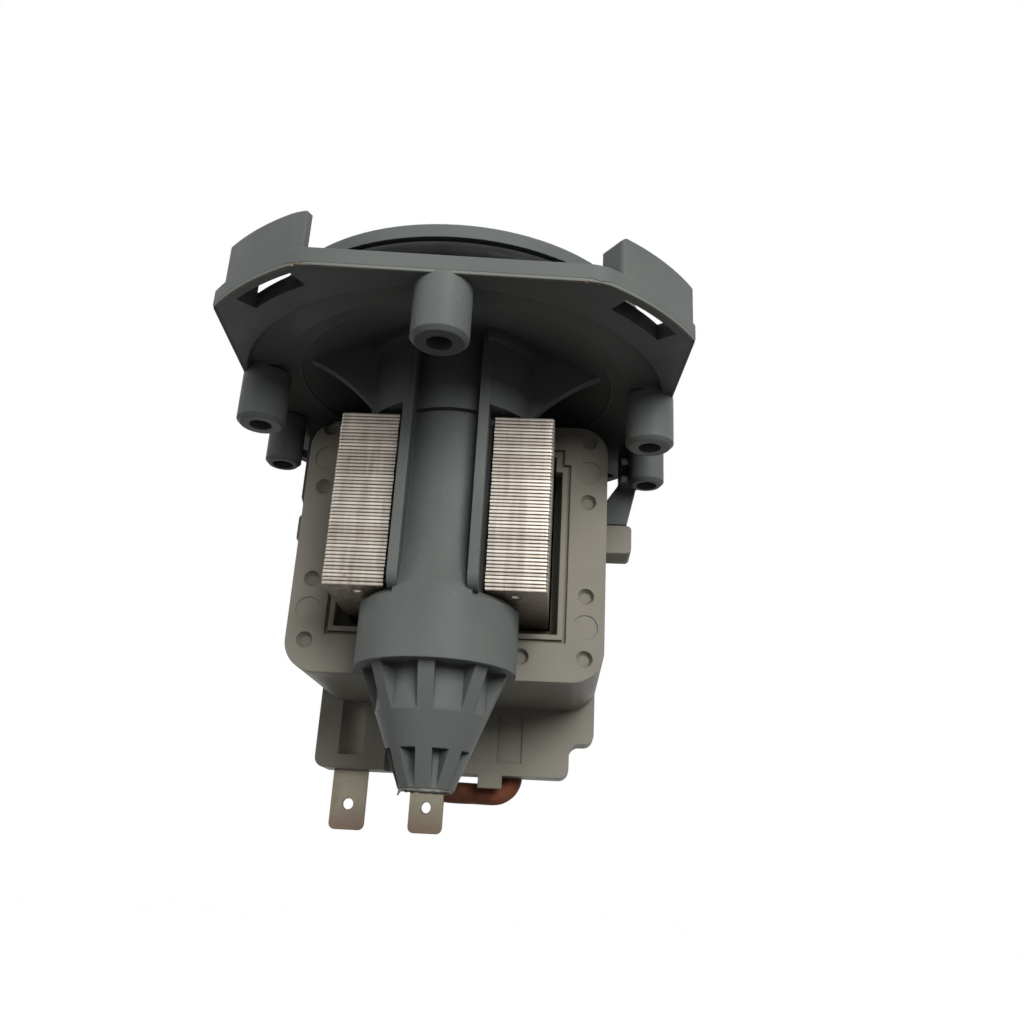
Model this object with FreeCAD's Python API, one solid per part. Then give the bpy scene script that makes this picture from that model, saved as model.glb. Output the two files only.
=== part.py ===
"""Synchronous drain pump of a dishwasher, as it comes off the sump.

The frame: +Z runs along the rotor axis towards the sump, the origin is the centre of the
spigot's front rim, and -Y is the side with the open pole arms. All values are millimetres.
"""
import FreeCAD, Part

import math
import os

Vec = FreeCAD.Vector

# Clearances between pieces
RUN_GAP = 0.05            # radial gap of a running fit
SEAT_GAP = 0.05           # gap round a piece that is pushed into its seat
FREE_GAP = 0.4            # gap between faces that turn past each other
CORE_GAP = 0.3            # gap between the rotor tube and the pole faces
RAIL_GAP = 0.75           # gap between a rail and the pole arm beside it

# Flange plate: a corner circle outside the bayonet gap, with flat sides and ends
BAYONET_GAP = 7.0         # between the spigot and the hooks' lips
HOOK_LIP_REACH = 4.4
SIDE_FLAT = 7.7           # how far the flat sides lie inside the corner circle
END_FLAT = 4.9            # the same for the front and back flats
PLATE_SHIFT = 0.5         # the flats' middle stands this far to the right of the rotor axis
PLATE_TURN = 3.8          # degrees that the flange's outline, hooks, bosses and webs are turned by
PLATE_THICK = 2.5
PLATE_EDGE_CHAMFER = 0.4
SPIGOT_HEIGHT = 9.9       # from the plate's front face up to the spigot rim
PLATE_TOP = -SPIGOT_HEIGHT
PLATE_BACK = PLATE_TOP - PLATE_THICK

# Spigot with its seal groove
SPIGOT_R = 30.1
PLATE_CORNER_R = SPIGOT_R + BAYONET_GAP + HOOK_LIP_REACH
PLATE_HALF_X = PLATE_CORNER_R - SIDE_FLAT
PLATE_HALF_Y = PLATE_CORNER_R - END_FLAT
SPIGOT_WALL = 5.1
SPIGOT_BORE_R = SPIGOT_R - SPIGOT_WALL
SPIGOT_LIP = 2.3
SPIGOT_LIP_ROUND = 0.3
SEAL_CORD_D = 3.5
SEAL_FACETS = 10
SEAL_GROOVE_DEPTH = 3.1
SEAL_GROOVE_R = SPIGOT_R - SEAL_GROOVE_DEPTH
SEAL_GROOVE_SLACK = 0.4
SPIGOT_FOOT_STEP = 0.7
SPIGOT_FOOT_R = SPIGOT_R - SPIGOT_FOOT_STEP

# Dish of the flange, drawn up to the middle
DISH_RIM = 2.3            # flat rim left between the dish and the plate's flat sides
DISH_R = PLATE_HALF_X - DISH_RIM
DISH_RISE = 6.7
DISH_TOP = PLATE_BACK + DISH_RISE

# Bayonet hooks, one at each corner
HOOK_STARTS = (40.3, 122.9, 220.3, 302.9)
HOOK_SWEEP = 22.0
HOOK_WALL = 1.5
HOOK_HEIGHT = 5.8
HOOK_LIP = 1.8
HOOK_STOP_SWEEP = 2.4
HOOK_ROUND = 0.8
SLOT_START = 2.5          # degrees after the hook's start
SLOT_SWEEP = 16.0
SLOT_WIDTH = 3.0

# Screw bosses behind the plate: x, y, radius
BOSS_LENGTH = 8.2
BOSS_HOLE_R = 1.75
BOSS_HOLE_DEPTH = 7.2
BOSS_EDGE = 0.6
FRONT_BOSS_R = 3.9
FRONT_BOSS_X = -0.8
FRONT_BOSS_IN = 3.8       # from the plate's front flat
SIDE_BOSS_R = 3.75
SIDE_BOSS_IN = 3.45       # from the plate's side flats
SIDE_BOSS_Y = -4.45
REAR_BOSS_R = 3.0
REAR_RIGHT_IN = 1.5
REAR_LEFT_IN = 3.9
REAR_BOSS_Y = 11.2
RIGHT_FLAT_X = PLATE_HALF_X + PLATE_SHIFT
LEFT_FLAT_X = PLATE_SHIFT - PLATE_HALF_X
BOSSES = [(FRONT_BOSS_X, FRONT_BOSS_IN - PLATE_HALF_Y, FRONT_BOSS_R),
          (RIGHT_FLAT_X - SIDE_BOSS_IN, SIDE_BOSS_Y, SIDE_BOSS_R),
          (LEFT_FLAT_X + SIDE_BOSS_IN, SIDE_BOSS_Y, SIDE_BOSS_R),
          (RIGHT_FLAT_X - REAR_RIGHT_IN, REAR_BOSS_Y, REAR_BOSS_R),
          (LEFT_FLAT_X + REAR_LEFT_IN, REAR_BOSS_Y, REAR_BOSS_R)]

# Rotor tube: upper socket, well, cup and ribbed cone
WELL_BORE_R = 8.6
TUBE_WALL = 1.3
TUBE_R = WELL_BORE_R + TUBE_WALL
SOCKET_WALL = 1.2
SOCKET_BORE_R = 9.2
SOCKET_R = SOCKET_BORE_R + SOCKET_WALL
COLLAR_R = 13.4
COLLAR_WALL = 1.6
SHOULDER_STEP = 1.1       # the collar's shoulder under the dish stands out by this
SHOULDER_DROP = 2.1
CUP_R = 11.95
CUP_LENGTH = 10.2
CUP_SHOULDER = 1.0        # chamfer round the cup's upper edge
FLARE_LENGTH = 11.0
FLARE_SAG = (0.3, 0.35)   # shares of the flare's reach and length at its middle point
CONE_TOP_R = 10.7
CONE_TIP_R = 4.0
CONE_LENGTH = 16.6
CONE_RIBS = 8
CONE_RIB_WIDTH = 2.3
CONE_FIRST_RECESS = 6.2
CONE_BAND = 5.1
CONE_CORE_R = 8.1
RAIL_X = 5.7
RAIL_WIDTH = 1.5
RAIL_FRONT_Y = -12.05
RAIL_END_ROUND = 2.2
GUSSET_WIDTH = 1.8
GUSSET_Y = -5.1
GUSSET_END = 8.0          # from the gusset's outer end to the dish's edge
GUSSET_REACH = DISH_R - GUSSET_END
GUSSET_HOLLOW = 0.9

# Bobbins and their windings
BOBBIN_GAP = 0.15
BOBBIN_WALL = 0.9
BOBBIN_FLANGE = 1.0
BOBBIN_END_GAP = 0.3
WINDING_DEPTH = 2.9
WINDING_CORNER = 1.8
WINDING_SIDE_GAP = 0.1
BOBBIN_OUT = BOBBIN_GAP + BOBBIN_WALL
COIL_REACH = BOBBIN_OUT + WINDING_DEPTH + WINDING_SIDE_GAP

# Laminated core: a U of stamped sheets, open towards -Y
SHEETS = 49
SHEET_PITCH = 0.553
SHEET_SEAM = 0.17
SEAM_DEPTH = 0.2
CORE_HEIGHT = SHEETS * SHEET_PITCH
POLE_BORE_R = TUBE_R + CORE_GAP
ARM_INNER_X = RAIL_X + RAIL_WIDTH / 2 + RAIL_GAP
ARM_WIDTH = 9.1
ARM_OUTER_X = ARM_INNER_X + ARM_WIDTH
ARM_FRONT_Y = -9.4
ARM_CORNER_CHAMFER = 0.6
YOKE_FRONT_Y = 27.5
YOKE_DEPTH = 9.1
YOKE_BACK_Y = YOKE_FRONT_Y + YOKE_DEPTH
DIMPLE_R = 0.75
DIMPLE_DEPTH = 0.25
DIMPLE_BACK = 3.4         # from an arm's front face to its interlock dimple
CUP_TOP_GAP = 0.2

# Coil housing: box with a front window and a terminal skirt
COIL_ROOM_ABOVE = 0.35    # between a coil and the box's walls
COIL_ROOM_BELOW = 3.55
COIL_ROOM_BESIDE = 2.75
BOX_WALL = 2.0
BOX_HALF_X = ARM_OUTER_X + COIL_REACH + COIL_ROOM_BESIDE + BOX_WALL
BOX_FRONT_Y = 7.2
YOKE_ROOM = 1.4           # behind the yoke
BOX_BACK_Y = YOKE_BACK_Y + YOKE_ROOM
BOX_PLATE_GAP = 0.6
BOX_TOP = PLATE_BACK - BOX_PLATE_GAP
CORE_TOP = BOX_TOP - BOX_WALL - COIL_ROOM_ABOVE - COIL_REACH
CORE_BOTTOM = CORE_TOP - CORE_HEIGHT
BOX_BOTTOM = CORE_BOTTOM - COIL_REACH - COIL_ROOM_BELOW - BOX_WALL
STEP_ABOVE_CORE = 0.9
STEP_Z = CORE_TOP + STEP_ABOVE_CORE
CUP_TOP = CORE_BOTTOM - CUP_TOP_GAP
CUP_BOTTOM = CUP_TOP - CUP_LENGTH
TIP_Z = CUP_BOTTOM - CONE_LENGTH
BOX_CORNER_R = 5.0
BOX_TUBE_GAP = 0.3        # between the box and the collar or the cup
WINDOW_SIDE_GAP = 1.4
WINDOW_TOP_GAP = 0.9
WINDOW_SHOULDER = 2.7     # the window is lower by this beside the arms
WINDOW_ARM_GAP = 0.3
WINDOW_BOTTOM_GAP = 2.2
RIM_OFFSET = 0.8
RIM_GROOVE = 0.55
RIM_GROOVE_DEPTH = 0.6
EJECTOR_R = 1.3
EJECTOR_DEPTH = 0.35
PIN_MARK_R = 2.0
PIN_MARK_DEPTH = 0.12
MARK_COLUMN_IN = 3.1      # from the box's side
MARK_COLUMN_X = BOX_HALF_X - MARK_COLUMN_IN
EJECTOR_DROPS = (2.6, 13.4, 29.4, 39.4)   # down from the box's top edge
PIN_MARK_DROPS = (8.2, 34.4)
LEFT_MARKS_RISE = 1.25    # the left column of marks stands this much higher
LOW_EJECTOR_X = 12.1

# Terminal skirt under the back of the box
SKIRT_DEPTH = 3.5         # from the box's back forward to the skirt's front
SKIRT_FRONT_Y = BOX_BACK_Y - SKIRT_DEPTH
SKIRT_DROP = 11.9
SKIRT_BOTTOM = BOX_BOTTOM - SKIRT_DROP
SKIRT_SIDE_INSET = 0.3
LEFT_BLOCK_WIDTH = 12.6
BLOCK_GAP = 3.6
BLOCK_GAP_DEPTH = 2.4
RIGHT_STEP_DROP = 5.9
RIGHT_STEP_IN = 4.3
SKIRT_ROUND = 1.8
FLUTE_R = 2.5
FLUTE_DEPTH = 1.3
FLUTE_RISE = 2.4          # from the skirt's underside to the flute's lower end
PANEL_HALF = 2.2
PANEL_FROM_STEP = 10.6    # from the stepped side of the skirt
PANEL_DEPTH = 0.3
PANEL_TOP_DROP = 1.4
PANEL_BOTTOM_RISE = 2.2
TONGUE_HALF = 2.1
TONGUE_THICK = 1.5
TONGUE_DROP = 2.2
TONGUE_FROM_LEAD = 3.7    # from the tongue's middle to the lead's right-hand run

# Side lugs of the box and the flange's latch arms over them
LUG_Y = 19.5
LUG_HALF_Y = 3.0
RIGHT_LUG_REACH = 4.7
LEFT_LUG_REACH = 3.1
LUG_TOP_DROP = 13.9       # from the box's top edge
LUG_HEIGHT = 5.0
LUG_ROUND = 0.8
RIGHT_LATCH_THICK = 3.0
LEFT_LATCH_THICK = 1.8
RIGHT_LATCH_GAP = 2.6     # between the arm and the box's side
LEFT_LATCH_GAP = 1.3
RIGHT_LATCH_NOSE = 7.7
LEFT_LATCH_NOSE = 3.0
LATCH_HALF_Y = 3.2
LATCH_TAPER = 0.6         # share of the arm's thickness that is lost towards its end
LATCH_LUG_GAP = 0.15
TIE_HEIGHTS = (3.4, 6.7)  # ties between the right arm and the boss, down from the plate
TIE_THICK = 1.1
TIE_REACH = 3.2

# Cover plate behind the coils
COVER_THICK = 2.4
COVER_PLUG = 1.2
COVER_PAD_HALF_X = 12.0
COVER_PAD_HALF_Z = 9.0
COVER_PAD_GAP = 0.1
COVER_RIB_COUNT = 5
COVER_RIB_PITCH = 7.0
COVER_RIB_WIDTH = 1.4
COVER_RIB_HEIGHT = 0.9
COVER_RIB_INSET = 6.0

# Flat push-on terminals
TAB_WIDTH = 6.3
TAB_THICK = 0.8
TAB_BEHIND_FRONT = 3.1    # from the skirt's front to the middle of a terminal
TAB_Y = SKIRT_FRONT_Y + TAB_BEHIND_FRONT
TAB_REACH = 10.3          # below the skirt
TAB_ROOT = 8.0            # inside the skirt
TAB_ROOT_WIDTH = 4.6
TAB_CHAMFER = 0.9
TAB_HOLE_R = 0.95
TAB_HOLE_RISE = 4.4       # from the tab's end
TAB_SPACING = 14.0
RIGHT_TAB_TURN = -12.0
LEFT_TAB_X = SKIRT_SIDE_INSET + LEFT_BLOCK_WIDTH / 2 - BOX_HALF_X
RIGHT_TAB_X = LEFT_TAB_X + TAB_SPACING

# Sleeved lead looped under the skirt
LEAD_D = 3.8
LEAD_SPAN = 14.4
LEAD_FROM_TAB = 0.5       # along X, from the right terminal's middle to the lead's left run
LEAD_LEFT_X = RIGHT_TAB_X + LEAD_FROM_TAB
LEAD_RIGHT_X = LEAD_LEFT_X + LEAD_SPAN
TONGUE_X = LEAD_RIGHT_X - TONGUE_FROM_LEAD
LEAD_BEND_R = 3.2
LEAD_BEHIND_FRONT = 5.7
LEAD_Y = SKIRT_FRONT_Y + LEAD_BEHIND_FRONT
LEAD_DROP = 2.9           # from the skirt's underside to the lead's centre line
LEAD_ROOT = 3.0

# Rotor
SHAFT_R = 2.0
SHAFT_CHAMFER = 0.3
MAGNET_GAP = 0.7
MAGNET_R = WELL_BORE_R - MAGNET_GAP
MAGNET_OVERHANG = 0.6     # the magnet stands past the core by this much at each end
MAGNET_EDGE = 0.4
CARRIER_R = 4.2
CARRIER_END = 0.9
WASHER_R = 4.4
WASHER_THICK = 0.8
WASHER_PLAY = 0.1
BUSH_R = 3.9
BUSH_LENGTH = 6.0
BUSH_EDGE = 0.35
RUBBER_R = 6.3
RUBBER_LIP_R = 7.2
RUBBER_LIP = 1.2
RUBBER_FLOOR = 0.8

# Bearing cap in the mouth of the socket
CAP_FLANGE_R = 11.6
CAP_FLANGE = 1.5
CAP_EDGE = 0.5
CAP_SEAL_D = 1.7
CAP_SEAL_DEPTH = 6.2      # from the dish's face to the seal's middle
CAP_SEAL_SLACK = 0.2

# Impeller with its start coupling
DOG_NECK_R = 3.1
DOG_LUG_R = 6.3
DOG_LUG_SWEEP = 50.0
DOG_LUG_AZIMUTH = 90.0
DOG_LUG_HEIGHT = 5.0
HUB_R = 8.4
HUB_WALL = 1.5
HUB_FLOOR = 1.6
HUB_GAP = 0.6             # from the bearing cap's flange up to the hub
HUB_LUG_SWEEP = 34.0
HUB_LUG_AZIMUTH = DOG_LUG_AZIMUTH + 180
DAMPER_SWEEP = 8.0
HUB_CAP = 1.4
HUB_CAP_EDGE = 0.4
BLADES = 6
BLADE_R = 19.4
BLADE_THICK = 1.5
BLADE_HEIGHT = 10.4
BLADE_RAKE = 3.0
BLADE_TIP_CHAMFER = 2.6
BLADE_ROOT = 0.6

# Places that follow from the sizes above
DISH_FACE = DISH_TOP + PLATE_THICK
CAP_TOP = DISH_FACE + CAP_FLANGE
CARRIER_TOP = CORE_TOP + MAGNET_OVERHANG + CARRIER_END
CARRIER_BOTTOM = CORE_BOTTOM - MAGNET_OVERHANG - CARRIER_END
CAP_BOTTOM = CARRIER_TOP + WASHER_THICK + 2 * WASHER_PLAY
REAR_SEAT = CARRIER_BOTTOM - WASHER_THICK - 2 * WASHER_PLAY
RUBBER_BOTTOM = REAR_SEAT - BUSH_LENGTH - RUBBER_FLOOR
HUB_BOTTOM = CAP_TOP + HUB_GAP
HUB_INNER_R = HUB_R - HUB_WALL
CHAMBER_BOTTOM = HUB_BOTTOM + HUB_FLOOR
CAP_UNDERSIDE = CHAMBER_BOTTOM + DOG_LUG_HEIGHT + 2 * FREE_GAP
SHAFT_TOP = CAP_UNDERSIDE - FREE_GAP
HUB_TOP = CAP_UNDERSIDE + HUB_CAP / 2
BOBBIN_FRONT = COLLAR_R + BOX_TUBE_GAP
BOBBIN_BACK = YOKE_FRONT_Y - BOBBIN_END_GAP
OVER = 1.0                # how far a cutting shape runs past the face it opens
MERGE = 0.3               # how far a rib reaches into the wall that carries it
MATCH = 0.01              # how near an edge must lie to the place it is picked by


def box(x_low, x_high, y_low, y_high, z_low, z_high):
    """Block between two corners."""
    corner = Vec(x_low, y_low, z_low)
    return Part.makeBox(x_high - x_low, y_high - y_low, z_high - z_low, corner)


def disc(radius, z_low, z_high, x=0.0, y=0.0):
    """Upright cylinder between two heights."""
    return Part.makeCylinder(radius, z_high - z_low, Vec(x, y, z_low))


def ring(r_out, r_in, z_low, z_high):
    """Round tube about the rotor axis."""
    return disc(r_out, z_low, z_high).cut(disc(r_in, z_low - OVER, z_high + OVER))


def turned(points):
    """Solid turned about the rotor axis from an outline of (radius, height) points."""
    outline = Part.makePolygon([Vec(r, 0, z) for r, z in points + points[:1]])
    return Part.Face(outline).revolve(Vec(0, 0, 0), Vec(0, 0, 1), 360)


def sector(r_in, r_out, z_low, z_high, start, sweep):
    """Part of a round tube, from a start angle over a sweep in degrees."""
    whole = Part.makeCylinder(r_out, z_high - z_low, Vec(0, 0, z_low), Vec(0, 0, 1), sweep)
    core = disc(r_in, z_low - OVER, z_high + OVER)
    return about_axis(whole.cut(core), start)


def about_axis(shape, degrees):
    """Copy of a shape turned about the rotor axis."""
    copy = shape.copy()
    copy.rotate(Vec(0, 0, 0), Vec(0, 0, 1), degrees)
    return copy


def mirrored_x(shape):
    """Copy of a shape on the other side of the YZ plane."""
    return shape.mirror(Vec(0, 0, 0), Vec(1, 0, 0))


def prism_y(points, y_low, y_high):
    """Outline of (x, z) points carried along Y."""
    outline = Part.makePolygon([Vec(x, y_low, z) for x, z in points + points[:1]])
    return Part.Face(outline).extrude(Vec(0, y_high - y_low, 0))


def cord_ring(inner, cord, middle):
    """Ring of round cord with a given inner radius; its section has a few flat facets."""
    radius = cord / 2
    section = []
    for index in range(SEAL_FACETS):
        angle = 2 * math.pi * (index + 0.5) / SEAL_FACETS
        section.append((inner + radius + radius * math.cos(angle), middle + radius * math.sin(angle)))
    return turned(section)


def edges_on(shape, places, direction):
    """Straight edges along a direction that pass through one of the given points."""
    found = []
    for edge in shape.Edges:
        if edge.Curve.TypeId != "Part::GeomLine" or abs(edge.Curve.Direction.dot(direction)) < 0.999:
            continue
        for place in places:
            offset = edge.Vertexes[0].Point - place
            if (offset - direction * offset.dot(direction)).Length < MATCH:
                found.append(edge)
                break
    return found


def rims_at(shape, height):
    """Closed round edges of a shape at one height."""
    return [e for e in shape.Edges if e.Closed and abs(e.BoundBox.ZMax - height) < MATCH]


def rims_wide(shape, radius):
    """Closed round edges of a shape that are at least as wide as a radius."""
    return [e for e in shape.Edges if e.Closed and e.BoundBox.XMax > radius - MATCH]


def round_box_y(half_x, z_low, z_high, radius, y_low, y_high):
    """Box along Y, centred on X = 0, with its four long edges rounded."""
    block = box(-half_x, half_x, y_low, y_high, z_low, z_high)
    corners = [Vec(x, y_low, z) for x in (-half_x, half_x) for z in (z_low, z_high)]
    return block.makeFillet(radius, edges_on(block, corners, Vec(0, 1, 0)))


def plate_outline():
    """Tall prism of the flange's outline: a rectangle inside a corner circle."""
    block = box(LEFT_FLAT_X, RIGHT_FLAT_X, -PLATE_HALF_Y, PLATE_HALF_Y, PLATE_BACK, OVER)
    return block.common(disc(PLATE_CORNER_R, PLATE_BACK, OVER))


def flange():
    """Plate drawn up to the middle as a shallow dish of the same thickness."""
    slab = plate_outline().common(disc(2 * PLATE_CORNER_R, PLATE_BACK, PLATE_TOP))
    low_rim = [e for e in slab.Edges if abs(e.BoundBox.ZMax - PLATE_BACK) < MATCH]
    slab = slab.makeChamfer(PLATE_EDGE_CHAMFER, low_rim)
    hollow = Part.makeCone(DISH_R, COLLAR_R, DISH_RISE, Vec(0, 0, PLATE_BACK))
    slab = slab.cut(hollow)
    dish = turned([(SOCKET_BORE_R, DISH_TOP), (COLLAR_R, DISH_TOP), (DISH_R, PLATE_BACK),
                   (DISH_R, PLATE_TOP), (COLLAR_R, DISH_FACE), (SOCKET_BORE_R, DISH_FACE)])
    return slab.fuse(dish)


def spigot():
    """Round wall with a lip, a seal groove and a foot that stands on the plate."""
    groove_top = -SPIGOT_LIP
    groove_bottom = groove_top - SEAL_CORD_D - SEAL_GROOVE_SLACK
    step = SPIGOT_LIP_ROUND
    return turned([(SPIGOT_BORE_R, PLATE_TOP - MERGE), (SPIGOT_FOOT_R, PLATE_TOP - MERGE),
                   (SPIGOT_FOOT_R, groove_bottom), (SEAL_GROOVE_R, groove_bottom),
                   (SEAL_GROOVE_R, groove_top), (SPIGOT_R, groove_top),
                   (SPIGOT_R, -step), (SPIGOT_R - step, 0.0), (SPIGOT_BORE_R, 0.0)])


def hook(start):
    """Bayonet hook: a wall flush with the corner, an inward lip and a stop at its start."""
    top = PLATE_TOP + HOOK_HEIGHT
    inner = PLATE_CORNER_R - HOOK_WALL
    lip_inner = PLATE_CORNER_R - HOOK_LIP_REACH
    wall = sector(inner, PLATE_CORNER_R, PLATE_TOP - MERGE, top, start, HOOK_SWEEP)
    lip = sector(lip_inner, PLATE_CORNER_R, top - HOOK_LIP, top, start, HOOK_SWEEP)
    stop = sector(lip_inner, PLATE_CORNER_R, PLATE_TOP - MERGE, top, start, HOOK_STOP_SWEEP)
    whole = wall.fuse([lip, stop]).removeSplitter()
    angle = math.radians(start)
    corner = Vec(PLATE_CORNER_R * math.cos(angle), PLATE_CORNER_R * math.sin(angle), 0)
    whole = whole.makeFillet(HOOK_ROUND, edges_on(whole, [corner], Vec(0, 0, 1)))
    return whole.common(plate_outline())


def hook_slot(start):
    """Slot through the plate under a hook's lip."""
    outer = PLATE_CORNER_R - HOOK_WALL
    return sector(outer - SLOT_WIDTH, outer, PLATE_BACK - OVER, PLATE_TOP + OVER,
                  start + SLOT_START, SLOT_SWEEP)


def boss(x, y, radius):
    """Round screw boss that hangs from the plate, with a softened end."""
    end = PLATE_BACK - BOSS_LENGTH
    body = disc(radius, end, PLATE_BACK + MERGE, x, y)
    return body.makeChamfer(BOSS_EDGE, rims_at(body, end))


def boss_hole(x, y):
    """Blind screw hole."""
    mouth = PLATE_BACK - BOSS_LENGTH
    return disc(BOSS_HOLE_R, mouth - OVER, mouth + BOSS_HOLE_DEPTH, x, y)


def tube():
    """Outside of the rotor tube from the collar to the cup, before it is bored."""
    socket = disc(SOCKET_R, STEP_Z, DISH_TOP + MERGE)
    well = disc(TUBE_R, CUP_TOP - MERGE, STEP_Z + MERGE)
    cup = disc(CUP_R, CUP_BOTTOM, CUP_TOP)
    cup = cup.makeChamfer(CUP_SHOULDER, rims_at(cup, CUP_TOP))
    return socket.fuse([well, cup, flare(), collar()] + rails())


def collar():
    """Wider shell round the socket with a shoulder at its top, open in front between the rails."""
    shell = ring(COLLAR_R, COLLAR_R - COLLAR_WALL, STEP_Z, DISH_TOP + MERGE)
    roof = ring(COLLAR_R, SOCKET_R - MERGE, STEP_Z, STEP_Z + COLLAR_WALL)
    shoulder = ring(COLLAR_R + SHOULDER_STEP, COLLAR_R - MERGE, DISH_TOP - SHOULDER_DROP, DISH_TOP)
    front = box(-RAIL_X, RAIL_X, -2 * COLLAR_R, 0, STEP_Z - OVER, DISH_TOP)
    return shell.fuse([roof, shoulder]).cut(front)


def flare():
    """Front of the tube, swept out in a hollow curve between the rails to meet the cup."""
    top = CUP_TOP + FLARE_LENGTH
    reach_share, length_share = FLARE_SAG
    middle = Vec(TUBE_R + (CUP_R - TUBE_R) * reach_share, 0, CUP_TOP + FLARE_LENGTH * length_share)
    curve = Part.Arc(Vec(TUBE_R, 0, top), middle, Vec(CUP_R, 0, CUP_TOP)).toShape()
    inner = WELL_BORE_R + MERGE
    low = CUP_TOP - CUP_SHOULDER
    sides = Part.makePolygon([Vec(CUP_R, 0, CUP_TOP), Vec(CUP_R, 0, low), Vec(inner, 0, low),
                              Vec(inner, 0, top), Vec(TUBE_R, 0, top)])
    turned_flare = Part.Face(Part.Wire([curve] + sides.Edges)).revolve(
        Vec(0, 0, 0), Vec(0, 0, 1), 360)
    return turned_flare.common(box(-RAIL_X, RAIL_X, -2 * CUP_R, 0, low, top))


def rails():
    """Two ribs along the front of the tube, with rounded lower ends."""
    low = CUP_TOP - MERGE
    rail = box(RAIL_X - RAIL_WIDTH / 2, RAIL_X + RAIL_WIDTH / 2, RAIL_FRONT_Y,
               -math.sqrt(WELL_BORE_R ** 2 - RAIL_X ** 2) - TUBE_WALL / 2, low, DISH_TOP + PLATE_THICK / 2)
    end = Vec(0, RAIL_FRONT_Y, low)
    rail = rail.makeFillet(RAIL_END_ROUND, edges_on(rail, [end], Vec(1, 0, 0)))
    return [rail, mirrored_x(rail)]


def gussets():
    """Two webs with a hollow lower edge, from the collar's front out to the dish."""
    inner = math.sqrt(COLLAR_R ** 2 - GUSSET_Y ** 2) - COLLAR_WALL / 2
    reach = math.sqrt(GUSSET_REACH ** 2 - GUSSET_Y ** 2)
    dish_slope = DISH_RISE / (DISH_R - COLLAR_R)
    end_z = PLATE_BACK + dish_slope * (DISH_R - GUSSET_REACH)
    start = Vec(inner, 0, STEP_Z)
    end = Vec(reach, 0, end_z)
    centre = (start + end) / 2 + Vec(-GUSSET_HOLLOW / 2, 0, GUSSET_HOLLOW)
    curve = Part.Arc(start, centre, end).toShape()
    back = Part.makePolygon([end, end + Vec(0, 0, MERGE), Vec(inner, 0, DISH_TOP + MERGE), start])
    web = Part.Face(Part.Wire([curve] + back.Edges)).extrude(Vec(0, GUSSET_WIDTH, 0))
    web.translate(Vec(0, GUSSET_Y - GUSSET_WIDTH / 2, 0))
    return [web, mirrored_x(web)]


def cone():
    """Tapered end with two rows of recesses between eight ribs."""
    length = CONE_LENGTH
    whole = Part.makeCone(CONE_TIP_R, CONE_TOP_R, length, Vec(0, 0, TIP_Z))
    band_top = CUP_BOTTOM - CONE_FIRST_RECESS
    kept = [disc(CONE_CORE_R, band_top, CUP_BOTTOM),
            disc(CONE_TOP_R, band_top - CONE_BAND, band_top),
            disc(CONE_TIP_R, TIP_Z, band_top)]
    for index in range(CONE_RIBS // 2):
        blade = box(-CONE_TOP_R, CONE_TOP_R, -CONE_RIB_WIDTH / 2, CONE_RIB_WIDTH / 2,
                    TIP_Z, CUP_BOTTOM)
        kept.append(about_axis(blade, index * 360 / CONE_RIBS))
    return whole.common(kept[0].fuse(kept[1:]))


def rotor_well():
    """Everything that is bored from the pump side: socket, well and rear rubber seat."""
    bores = disc(SOCKET_BORE_R, CAP_BOTTOM, DISH_FACE + OVER)
    well = disc(WELL_BORE_R, REAR_SEAT, CAP_BOTTOM + MERGE)
    lip = disc(RUBBER_LIP_R + SEAT_GAP, REAR_SEAT - RUBBER_LIP, REAR_SEAT + MERGE)
    seat = disc(RUBBER_R + SEAT_GAP, RUBBER_BOTTOM, REAR_SEAT)
    return bores.fuse([well, lip, seat])


def latch_arm(gap, thick, nose):
    """Arm that hangs from the flange beside the box, with a nose above the box's lug."""
    inner = BOX_HALF_X + gap
    outer = inner + thick
    low = BOX_TOP - LUG_TOP_DROP + LATCH_LUG_GAP
    top = PLATE_BACK + MERGE
    nose_inner = BOX_HALF_X + SEAT_GAP
    outline = [(nose_inner, low), (outer - LATCH_TAPER * thick, low), (outer, low + nose), (outer, top),
               (inner, top), (inner, low + nose), (nose_inner, low + nose / 2)]
    return prism_y(outline, LUG_Y - LATCH_HALF_Y, LUG_Y + LATCH_HALF_Y)


def latch_ties():
    """Short ribs between the right latch arm and the screw boss in front of it."""
    inner = BOX_HALF_X + RIGHT_LATCH_GAP
    front = LUG_Y - LATCH_HALF_Y
    return [box(inner, inner + RIGHT_LATCH_THICK, front - TIE_REACH, front + MERGE,
                PLATE_BACK - drop - TIE_THICK, PLATE_BACK - drop) for drop in TIE_HEIGHTS]


def rotor_housing():
    """Flange, spigot, hooks, bosses, rotor tube and cone in one moulding."""
    bosses = [boss(*place) for place in BOSSES]
    hooks = [hook(start) for start in HOOK_STARTS]
    plate = about_axis(flange().fuse(bosses + hooks + gussets()), PLATE_TURN)
    arms = [latch_arm(RIGHT_LATCH_GAP, RIGHT_LATCH_THICK, RIGHT_LATCH_NOSE),
            mirrored_x(latch_arm(LEFT_LATCH_GAP, LEFT_LATCH_THICK, LEFT_LATCH_NOSE))]
    body = plate.fuse([spigot(), tube(), cone()] + arms + latch_ties())
    holes = [boss_hole(x, y) for x, y, _ in BOSSES]
    slots = [hook_slot(start) for start in HOOK_STARTS]
    turned_cuts = about_axis(holes[0].fuse(holes[1:] + slots), PLATE_TURN)
    return body.cut(rotor_well().fuse(turned_cuts)).removeSplitter()


def spigot_o_ring():
    """Seal in the spigot's groove."""
    middle = -SPIGOT_LIP - SEAL_GROOVE_SLACK / 2 - SEAL_CORD_D / 2
    return cord_ring(SEAL_GROOVE_R + SEAT_GAP, SEAL_CORD_D, middle)


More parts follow.
